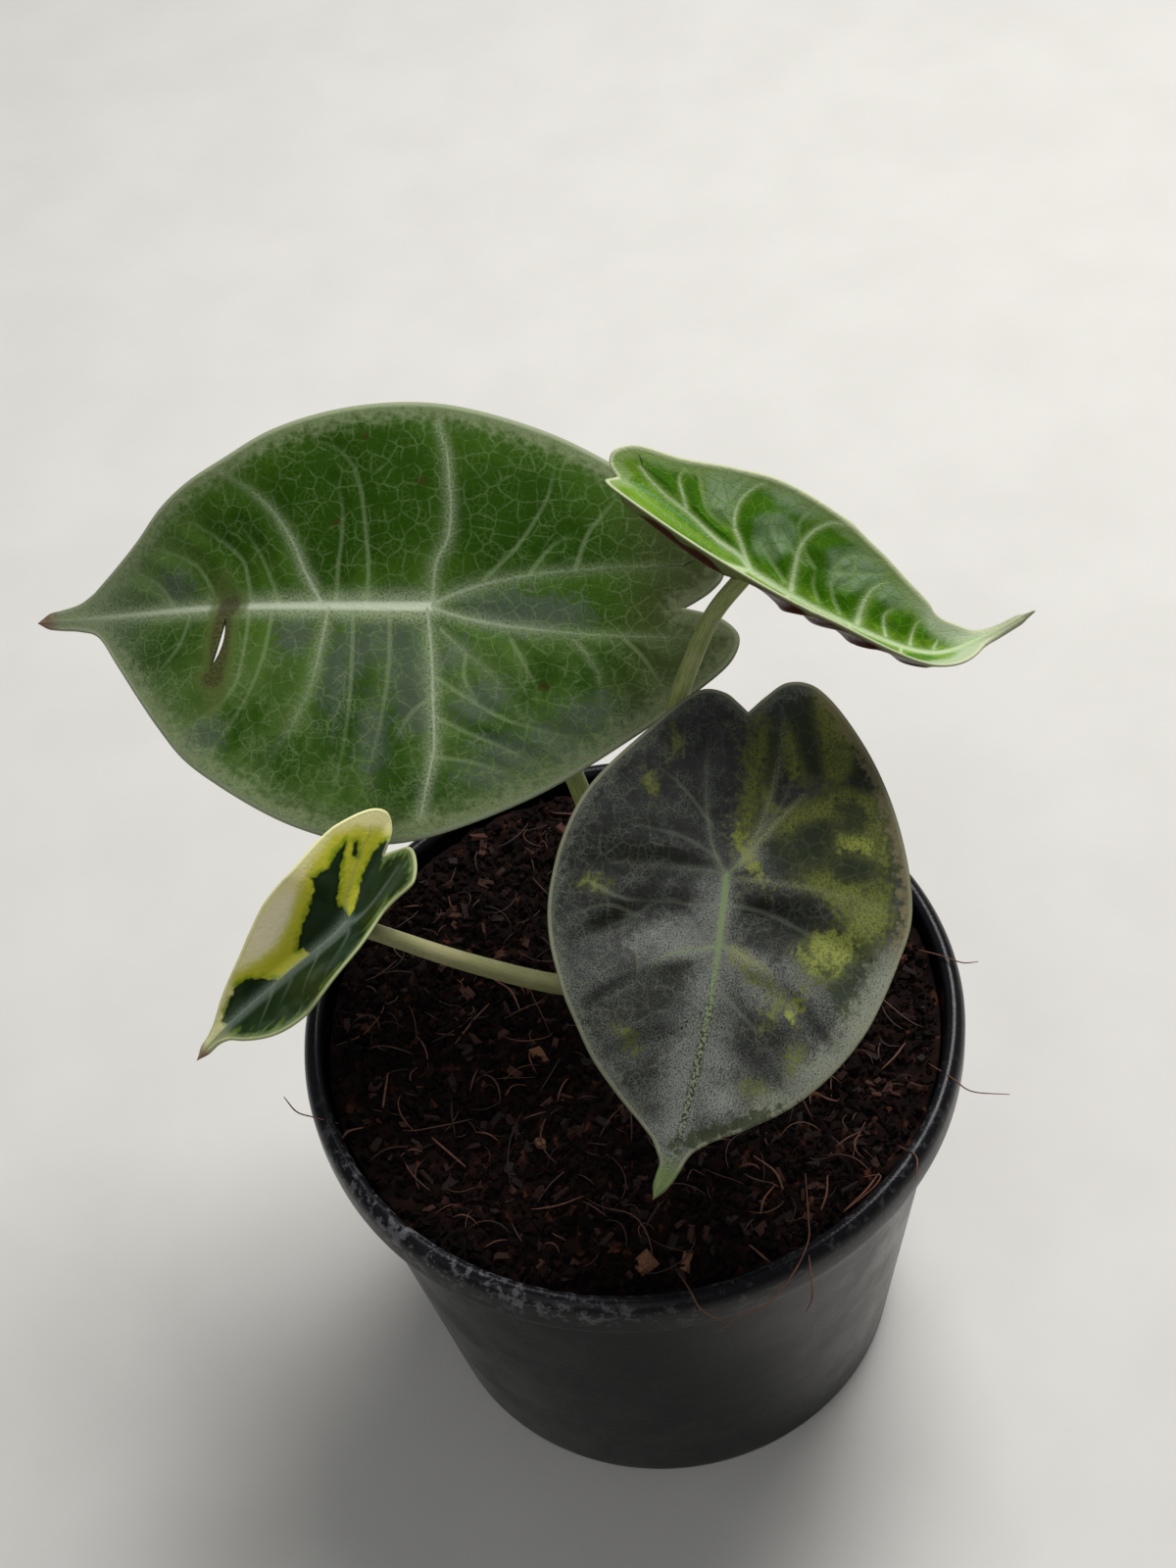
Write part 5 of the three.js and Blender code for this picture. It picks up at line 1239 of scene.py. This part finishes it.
# Damp fibre is nearly black in its gaps and has no gloss. The noise is the grain of single crumbs, 1.1 mm.
coir_skin, tree, shader = skin("damp coconut fibre", Roughness=0.92, Specular_IOR_Level=0.1)
facts = dict(tone=(add(tree, "Attribute", attribute_name="tone"), "Fac"))
place = (add(tree, "TexCoord"), "Object")
wires = {"Vector": place, "Scale": every(1.1111), "Detail": 5.0, "Roughness": 0.7}
facts["crumb"] = (add(tree, "TexNoise", wires), "Fac")
masked(tree, facts, {"rusty": [("tone", 0.72, 0.98), ("crumb", 0.35, 0.6)]})
colour = coloured(tree, facts, "#080403", [
    ("tone", 0.1, 0.95, 1.0, "#1d0f0b"), ("crumb", 0.5, 0.75, 0.7, "#2a1711"),
    ("rusty", 0, 1, 0.8, "#573122"),
])
tree.links.new(colour.outputs[2], shader.inputs["Base Color"])
bump = add(tree, "Bump", {"Height": facts["crumb"], "Strength": 0.8, "Distance": 0.0004})
tree.links.new(bump.outputs[0], shader.inputs["Normal"])
bed = piece("coir_bed", points, triangles, values, coir_skin)
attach(bed, "root"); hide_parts("coir_soil")

# %% Crumbs
def scattered(shape, sides, centres, sizes, turns, tones):
    """Copies of one small shape: each is scaled, its corners shifted a little, turned and moved."""
    n, corners = len(centres), len(shape)
    shift = np.random.default_rng(8).uniform(0.65, 1.35, (n, corners, 3))
    local = shape[None] * shift * sizes[:, None]
    ca, sa = np.cos(turns), np.sin(turns)
    for i, j, k in ((1, 2, 0), (2, 0, 1), (0, 1, 2)):
        u, v = local[..., i].copy(), local[..., j].copy()
        local[..., i] = u * ca[:, None, k] - v * sa[:, None, k]
        local[..., j] = u * sa[:, None, k] + v * ca[:, None, k]
    points = (local + centres[:, None]).reshape(-1, 3)
    triangles = (sides[None] + corners * np.arange(n)[:, None, None]).reshape(-1, 3)
    return points, triangles, dict(tone=np.repeat(tones, corners))


lump = np.array([(1, 0, 0), (0, 1, 0), (-1, 0, 0), (0, -1, 0), (0, 0, 1), (0, 0, -1)], float)
lump_sides = np.array([(0, 1, 4), (1, 2, 4), (2, 3, 4), (3, 0, 4),
                       (1, 0, 5), (2, 1, 5), (3, 2, 5), (0, 3, 5)])
rng = np.random.default_rng(21)
count, crumb_reach, inside_wall = 9000, 59.3, 60.2
r, a = crumb_reach * np.sqrt(rng.uniform(0.0, 1, count)), rng.uniform(0, 2 * np.pi, count)
x, y = r * np.cos(a), r * np.sin(a)
size = rng.lognormal(-0.35, 0.42, count).clip(0.3, 1.7)
sizes = size[:, None] * rng.uniform(0.55, 1.3, (count, 3))
x, y = [v * np.minimum(1, (inside_wall - size) / np.maximum(np.hypot(x, y), 1e-6)) for v in (x, y)]
centres = np.stack([x, y, ground(x, y) + 0.25 * size], 1)
tones = rng.beta(1.4, 2.6, count)
made = scattered(lump, lump_sides, centres, sizes, rng.uniform(0, 6.3, (count, 3)), tones)
crumbs = piece("coir_crumbs", *made[:2], made[2], coir_skin, smooth=False)
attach(crumbs, "root")

# %% Flakes of husk
brick = np.array([(x, y, z) for z in (-1, 1) for x, y in ((-1, -1), (1, -1), (1, 1), (-1, 1))], float) / 2
brick_sides = np.array([(0, 2, 1), (0, 3, 2), (4, 5, 6), (4, 6, 7), (0, 1, 5), (0, 5, 4),
                        (1, 2, 6), (1, 6, 5), (2, 3, 7), (2, 7, 6), (3, 0, 4), (3, 4, 7)])
count, flake_reach = 420, 57.5
r, a = flake_reach * np.sqrt(rng.uniform(0.01, 1, count)), rng.uniform(0, 2 * np.pi, count)
x, y = r * np.cos(a), r * np.sin(a)
sizes = np.stack([rng.uniform(low, high, count) for low, high in ((1.2, 3.8), (0.6, 1.7), (0.4, 1.0))], 1)
placed = [(-4.5, -53, 4.6, 3.0), (-19, -4.5, 3.6, 2.2), (-20.5, -24.5, 3.2, 2.0), (3.5, -54, 4.0, 1.6)]
for k, (px, py, long, broad) in enumerate(placed):
    x[k], y[k], sizes[k] = px, py, (long, broad, 1.1)
turns = np.stack([rng.normal(0, 0.4, count), rng.normal(0, 0.4, count), rng.uniform(0, 6.3, count)], 1)
tones = np.r_[np.full(4, 1.0), rng.beta(1.6, 2.2, count - 4)]
centres = np.stack([x, y, ground(x, y) + 0.45], 1)
made = scattered(brick, brick_sides, centres, sizes, turns, tones)

# Chips of husk are woody, a few of them dry and pale, with fibres 0.7 mm apart.
flake_skin, tree, shader = skin("coconut husk flakes", Roughness=0.85, Specular_IOR_Level=0.3)
facts = dict(tone=(add(tree, "Attribute", attribute_name="tone"), "Fac"))
place = (add(tree, "TexCoord"), "Object")
facts["fibre"] = (add(tree, "TexNoise", {"Vector": place, "Scale": every(0.6667), "Detail": 4.0}), "Fac")
colour = coloured(tree, facts, "#170c08", [
    ("tone", 0.1, 0.9, 1.0, "#432519"), ("tone", 0.93, 0.99, 1.0, "#765038"),
    ("fibre", 0.4, 0.7, 0.5, "#1d100b"),
])
tree.links.new(colour.outputs[2], shader.inputs["Base Color"])
bump = add(tree, "Bump", {"Height": facts["fibre"], "Strength": 0.7, "Distance": 0.0003})
tree.links.new(bump.outputs[0], shader.inputs["Normal"])
flakes = piece("husk_flakes", *made[:2], made[2], flake_skin, smooth=False)
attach(flakes, "root")

# %% Loose fibres
def strands(paths, radii, sides=4):
    """Many thin tubes at once: every path has the same number of points, and each one gets a small ring.
    The rings narrow to both ends, with the square root of a sine."""
    ahead = unit(np.gradient(paths, axis=1) + 1e-9)
    side = unit(np.cross(ahead, (0.13, 0.21, 1)))
    up = np.cross(ahead, side)
    n, steps = paths.shape[:2]
    a = np.linspace(0, 2 * np.pi, sides, endpoint=False)[:, None]
    taper = np.sin(np.linspace(0.25, np.pi - 0.25, steps)) ** 0.5
    r = (radii[:, None] * taper)[..., None, None]
    ring = paths[:, :, None] + r * (np.cos(a) * side[:, :, None] + np.sin(a) * up[:, :, None])
    t = grid_triangles(steps, sides, around=True)
    caps = np.array([(0, 2, 1), (0, 3, 2)])
    t = np.concatenate([t[:, ::-1], caps, caps[:, ::-1] + (steps - 1) * sides])
    triangles = (t[None] + steps * sides * np.arange(n)[:, None, None]).reshape(-1, 3)
    return ring.reshape(-1, 3), triangles


count, steps, fibre_reach, inside_wall = 330, 9, 55, 60
r, a = fibre_reach * np.sqrt(rng.uniform(0, 1, count)), rng.uniform(0, 2 * np.pi, count)
long = rng.lognormal(1.85, 0.5, count).clip(2.5, 20)
turn, curl = rng.uniform(0, 6.3, count), rng.normal(0, 1.3, count)
s = np.linspace(-0.5, 0.5, steps)
angle = turn[:, None] + curl[:, None] * s
dx, dy = np.cumsum(np.cos(angle), 1), np.cumsum(np.sin(angle), 1)
x = (r * np.cos(a))[:, None] + (dx - dx.mean(1, keepdims=True)) / steps * long[:, None]
y = (r * np.sin(a))[:, None] + (dy - dy.mean(1, keepdims=True)) / steps * long[:, None]
limit = np.minimum(1, inside_wall / np.maximum(np.hypot(x, y), 1e-6))
x, y = x * limit, y * limit
tilt, arch = rng.normal(0, 0.12, count), rng.uniform(0, 1.4, count)
z = ground(x, y, 0.3) + 0.75 + (arch * np.minimum(long / 8, 1))[:, None] * np.cos(np.pi * s)
z = z + np.abs(tilt)[:, None] * long[:, None] * (s + 0.5)
points, triangles = strands(np.stack([x, y, z], 2), rng.uniform(0.08, 0.2, count))
tones = np.repeat(rng.beta(1.5, 2.6, count), steps * 4)

placed = [
    [(-35, 0, 97.2), (-30.5, 5, 97.8), (-27.5, 8.5, 97)],
    [(-48.5, -4.5, 97.2), (-49.5, -10.5, 97.8), (-50.5, -15.5, 97)],
    [(-58.5, -18.5, 97.2), (-57, -17, 97.8), (-54, -16, 97)],
    [(-41, -20.5, 97.2), (-38.5, -24, 97.8), (-35, -28, 97)],
    [(51.5, -14.5, 97.2), (48.5, -18, 97.8), (46, -19.5, 97)],
    [(32.5, -22.5, 97.2), (35, -25, 97.8), (37.5, -25.5, 97)],
    [(22, -41.5, 97.2), (19.5, -44.5, 97.8), (18.5, -47, 97)],
    [(32, -41, 97.2), (31, -45.5, 97.8), (29, -49, 97)],
    [(-26, 14, 97.2), (-23, 10.5, 97.8), (-21.5, 6, 97)],
    [(41.5, -42, 97.2), (38.5, -45.5, 97.8), (33.5, -49, 97)],
    [(15.5, -53, 97.2), (17.5, -56, 97.8), (19, -57.5, 97)],
    [(19, -34.5, 97.2), (22.5, -39, 97.8), (23.5, -42.5, 97)],
    [(58, 6.5, 97.5), (62, 2, 100.6), (65.5, -0.5, 101), (68.5, -0.5, 100.6)],
    [(55, -20, 97.5), (58.5, -26, 100.4), (61, -29.5, 101), (68.5, -30, 98.5)],
    [(38.5, -42.5, 97.5), (41.5, -43.5, 98.8), (40.5, -45, 98.5), (34, -49, 97.5)],
    [(46, -37, 97.5), (48.5, -42, 100.9), (47.5, -46.5, 100.6)],
    [(28, -40, 97.5), (27, -50, 98), (26, -56, 100.4), (22, -62.5, 100.9), (16.5, -67.5, 100.8),
     (11.5, -68, 99), (7.5, -68.5, 95)],
    [(2, -57, 97.5), (3.5, -62.5, 100.9), (5, -66.5, 100.6), (9, -68, 97.5)],
    [(26, -55, 97.5), (25.5, -61.5, 100.8), (25, -66.5, 99.5), (23.5, -67.5, 95.5)],
    [(-68.5, -9, 100.8), (-66, -13, 101), (-63, -14.5, 100.8), (-58.5, -15, 98)],
]
steps = 22
lines = np.stack([through(path, np.linspace(0, 1, steps)) for path in placed])
more, sides = strands(lines, np.where(np.arange(len(placed)) < 12, 0.24, 0.18))
triangles = np.concatenate([triangles, sides + len(points)])
points = np.concatenate([points, more])
tones = np.concatenate([tones, np.full(len(more), 0.75)])

# A fibre is a dry, dull hair, from nearly black to rusty, that changes tone every 1.4 mm.
fibre_skin, tree, shader = skin("loose coconut fibres", Roughness=0.75)
facts = dict(tone=(add(tree, "Attribute", attribute_name="tone"), "Fac"))
place = (add(tree, "TexCoord"), "Object")
facts["streak"] = (add(tree, "TexNoise", {"Vector": place, "Scale": every(1.4286)}), "Fac")
colour = coloured(tree, facts, "#20110b", [("tone", 0.0, 1.0, 1.0, "#704630"),
                                           ("streak", 0.4, 0.7, 0.4, "#2e1a12")])
tree.links.new(colour.outputs[2], shader.inputs["Base Color"])
fibres = piece("coir_fibres", points, triangles, dict(tone=tones), fibre_skin)
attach(fibres, "root")

# %% [markdown]
# ## The pot
# The pot is black polypropylene, injection moulded: a thin tapering wall with a hollow rim that is rolled
# over and hangs down as a skirt. A Screw modifier could turn its profile round the axis. Here the same is
# done as arrays, so that the wall can be a little out of round. The drain holes are cut through the floor
# by a Boolean, as a mould's pins would leave them: nothing else there would show its triangles.

# %% Pot shell
profile = np.array([
    (0, 0), (30, 0), (44, 0), (48.5, 0), (49.3, 0.15), (49.8, 0.7), (50, 2), (53.13, 26), (56.26, 50),
    (59.4, 74), (61.2, 88), (62, 94), (62.5, 96.2), (63.2, 97.2), (63.7, 96.4), (63.8, 94), (63.8, 91.3),
    (64, 91), (64.5, 91), (64.75, 91.2), (64.85, 91.6), (65, 93.2), (65, 96.9), (64.8, 98.1), (64.3, 99.1),
    (63.5, 99.8), (62.7, 100), (61.9, 99.75), (61.4, 99.1), (61.1, 98.1), (60.85, 96.4), (60.6, 94),
    (58, 74), (54.87, 50), (51.74, 26), (48.6, 2.8), (48.3, 2.1), (47.6, 1.8), (44, 1.8), (30, 1.8),
    (0, 1.8),
])
sectors = 200
a = np.linspace(0, 2 * np.pi, sectors, endpoint=False)

# A thin wall is never quite round: three waves run round it, up to 0.15 mm deep, and grow to the rim.
wave = 0.12 * np.sin(3 * a + 1) + 0.08 * np.sin(7 * a) + 0.05 * np.sin(13 * a + 2)
share = smooth((profile[:, 1] - 60) / 40)[:, None] * (profile[:, 0] > 55)[:, None]
r = profile[:, :1] - 0.12 * share + wave * share * 0.6
points = np.stack([r * np.cos(a), r * np.sin(a), profile[:, 1:] + 0 * a], -1).reshape(-1, 3)
triangles = grid_triangles(len(profile), sectors, around=True)
points, triangles, _ = closed(points, triangles)

# %% Pot skin
# Carbon black plastic from a polished mould: a satin black with wiped clouds of 17 mm, dried splashes of
# 2.4 mm on the rim, and long scuffs. A mould's grain is about 0.1 mm: too fine to show, so it is 0.45 mm.
pot_skin, tree, shader = skin("black moulded polypropylene", IOR=1.49, Specular_IOR_Level=0.16)
place = (add(tree, "TexCoord"), "Object")
where = add(tree, "SeparateXYZ", {"Vector": place})
facts = dict(height=(where, "Z"), toward=(where, "Y"), sideways=(where, "X"))
sizes = dict(grain=(0.4545, 2, 0.5), cloud=(16.667, 5, 0.65), drops=(2.381, 4, 0.7))
for key, (mm, detail, rough) in sizes.items():
    wires = {"Vector": place, "Scale": every(mm), "Detail": detail, "Roughness": rough}
    facts[key] = (add(tree, "TexNoise", wires), "Fac")
masked(tree, facts, {
    "splashed": [("drops", 0.5, 0.66), ("height", 0.086, 0.098), ("toward", 0.01, -0.05)],
    "left": [("sideways", 0.02, -0.04), ("drops", 0.47, 0.6), ("height", 0.09, 0.099),
             ("toward", 0.0, -0.04)],
    "wiped": [("cloud", 0.5, 0.72)],
    "edge": [("height", 0.0975, 0.0995)],
})
colour = coloured(tree, facts, "#020203", [
    ("wiped", 0, 1, 0.06, "#3c3c40"), ("edge", 0, 1, 0.3, "#242428"), ("splashed", 0, 1, 0.3, "#5b5a5c"),
    ("left", 0, 1, 0.4, "#77767a"),
])
tree.links.new(colour.outputs[2], shader.inputs["Base Color"])
wires = {"Value": facts["cloud"], "From Min": 0.3, "From Max": 0.75, "To Min": 0.2, "To Max": 0.4}
tree.links.new(add(tree, "MapRange", wires).outputs[0], shader.inputs["Roughness"])
long = add(tree, "Mapping", {"Vector": place, "Scale": (1, 1, 9)})
scratch = (add(tree, "TexNoise", {"Vector": long, "Scale": every(8.3333), "Detail": 5.0}), "Fac")
relief = add(tree, "Math", {0: scratch, 1: 0.8, 2: facts["grain"]}, operation="MULTIPLY_ADD")
bump = add(tree, "Bump", {"Height": relief, "Strength": 0.16, "Distance": 0.0003})
tree.links.new(bump.outputs[0], shader.inputs["Normal"])
pot = piece("pot_shell", points, triangles, None, pot_skin)

# %% Drain holes
hole_count, hole_radius, circle_radius = 8, 4, 37
b = np.linspace(0, 2 * np.pi, 40, endpoint=False)
pins, pin_sides = [], []
for k in range(hole_count):
    turn = (k + 0.5) * 2 * math.pi / hole_count
    middle = circle_radius * np.array([math.cos(turn), math.sin(turn)])
    rims = [np.stack([middle[0] + q * np.cos(b), middle[1] + q * np.sin(b), 0 * b + z], 1)
            for q, z in ((0, -3), (hole_radius, -3), (hole_radius, 5), (0, 5))]
    pin_sides.append(grid_triangles(4, len(b), around=True) + k * 4 * len(b))
    pins.append(np.concatenate(rims))
points, triangles, _ = closed(np.concatenate(pins), np.concatenate(pin_sides))
drill = piece("drill", points, triangles, smooth=False)
holes = pot.modifiers.new("drain holes", "BOOLEAN")
holes.object, holes.operation, holes.solver = drill, "DIFFERENCE", "EXACT"
cut = bpy.data.meshes.new_from_object(pot.evaluated_get(bpy.context.evaluated_depsgraph_get()))
pot.modifiers.clear()
pot.data = cut
bpy.data.objects.remove(drill)
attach(pot, "root"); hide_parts("nursery_pot")
print("pot with its drain holes:", len(cut.polygons), "faces")

# %% [markdown]
# ## The setting
# A plain pale floor, soft light from a large lamp above and a little behind, and a weak one from the
# front. Small lamps would draw hard shadows of the leaves on the coir. The camera looks down on the plant
# at 50 degrees, as the photograph does, and leans a little to the side. It could be aimed by hand, but its
# three directions and its place come from a fit to the pot's rim, and are written down as numbers.

# %% Floor
# Matt painted board, with a mottle of 33 mm that is hardly lighter than the rest.
paper, tree, shader = skin("pale matt floor", Roughness=0.9)
place = (add(tree, "TexCoord"), "Object")
wires = {"Vector": place, "Scale": every(33.333), "Detail": 3.0}
facts = dict(mottle=(add(tree, "TexNoise", wires), "Fac"))
colour = coloured(tree, facts, "#cfccc6", [("mottle", 0.3, 0.7, 1.0, "#d3d0ca")])
tree.links.new(colour.outputs[2], shader.inputs["Base Color"])
lines, half_side = 9, 3000
u = np.linspace(-1, 1, lines) * half_side
x, y = np.meshgrid(u, u, indexing="ij")
points = np.stack([x, y, 0 * x], -1).reshape(-1, 3)
floor = piece("floor", points, grid_triangles(lines, lines), None, paper)

# %% Light
world = bpy.data.worlds.new("soft room")
world.use_nodes = True
world.node_tree.nodes["Background"].inputs["Color"].default_value = linear("#e9edf2")
world.node_tree.nodes["Background"].inputs["Strength"].default_value = 0.22
bpy.context.scene.world = world


def lamp(name, place, aim, size, watts, code="#ffffff"):
    """A square soft lamp at a place in metres, turned to a point."""
    made = bpy.data.objects.new(name, bpy.data.lights.new(name, "AREA"))
    made.data.size, made.data.energy, made.data.color = size, watts, linear(code)[:3]
    z = unit(np.array(place, float) - np.array(aim, float))
    x = unit(np.cross((0, 1, 0.01), z))
    turn = Matrix(np.column_stack([x, np.cross(z, x), z]).tolist()).to_4x4()
    made.matrix_world = Matrix.Translation(place) @ turn
    bpy.context.scene.collection.objects.link(made)


lamp("large lamp above and behind", (0.28, 0.42, 0.95), (0, 0, 0.12), 0.5, 12)
lamp("fill from the front", (-0.45, -0.8, 0.8), (0, 0, 0.1), 0.9, 2.4)
bpy.context.scene.view_settings.view_transform = "Standard"
print("lamps:", {light.name: f"{light.energy:.1f} W" for light in bpy.data.lights})

# %% Camera
right, up, back = (0.9899, -0.1068, -0.0931), (0.1416, 0.7631, 0.6305), (0.0037, -0.6374, 0.7706)
eye = (0, -0.2905382, 0.5219465)
camera = bpy.data.objects.new("camera", bpy.data.cameras.new("camera"))
camera.data.lens, camera.data.sensor_width, camera.data.sensor_fit = 60, 36, "AUTO"
camera.data.clip_start = 0.01
camera.matrix_world = Matrix.Translation(eye) @ Matrix(np.column_stack([right, up, back]).tolist()).to_4x4()
bpy.context.scene.collection.objects.link(camera)
bpy.context.scene.camera = camera
print("camera looks down at", round(math.degrees(math.asin(back[2])), 1), "degrees")
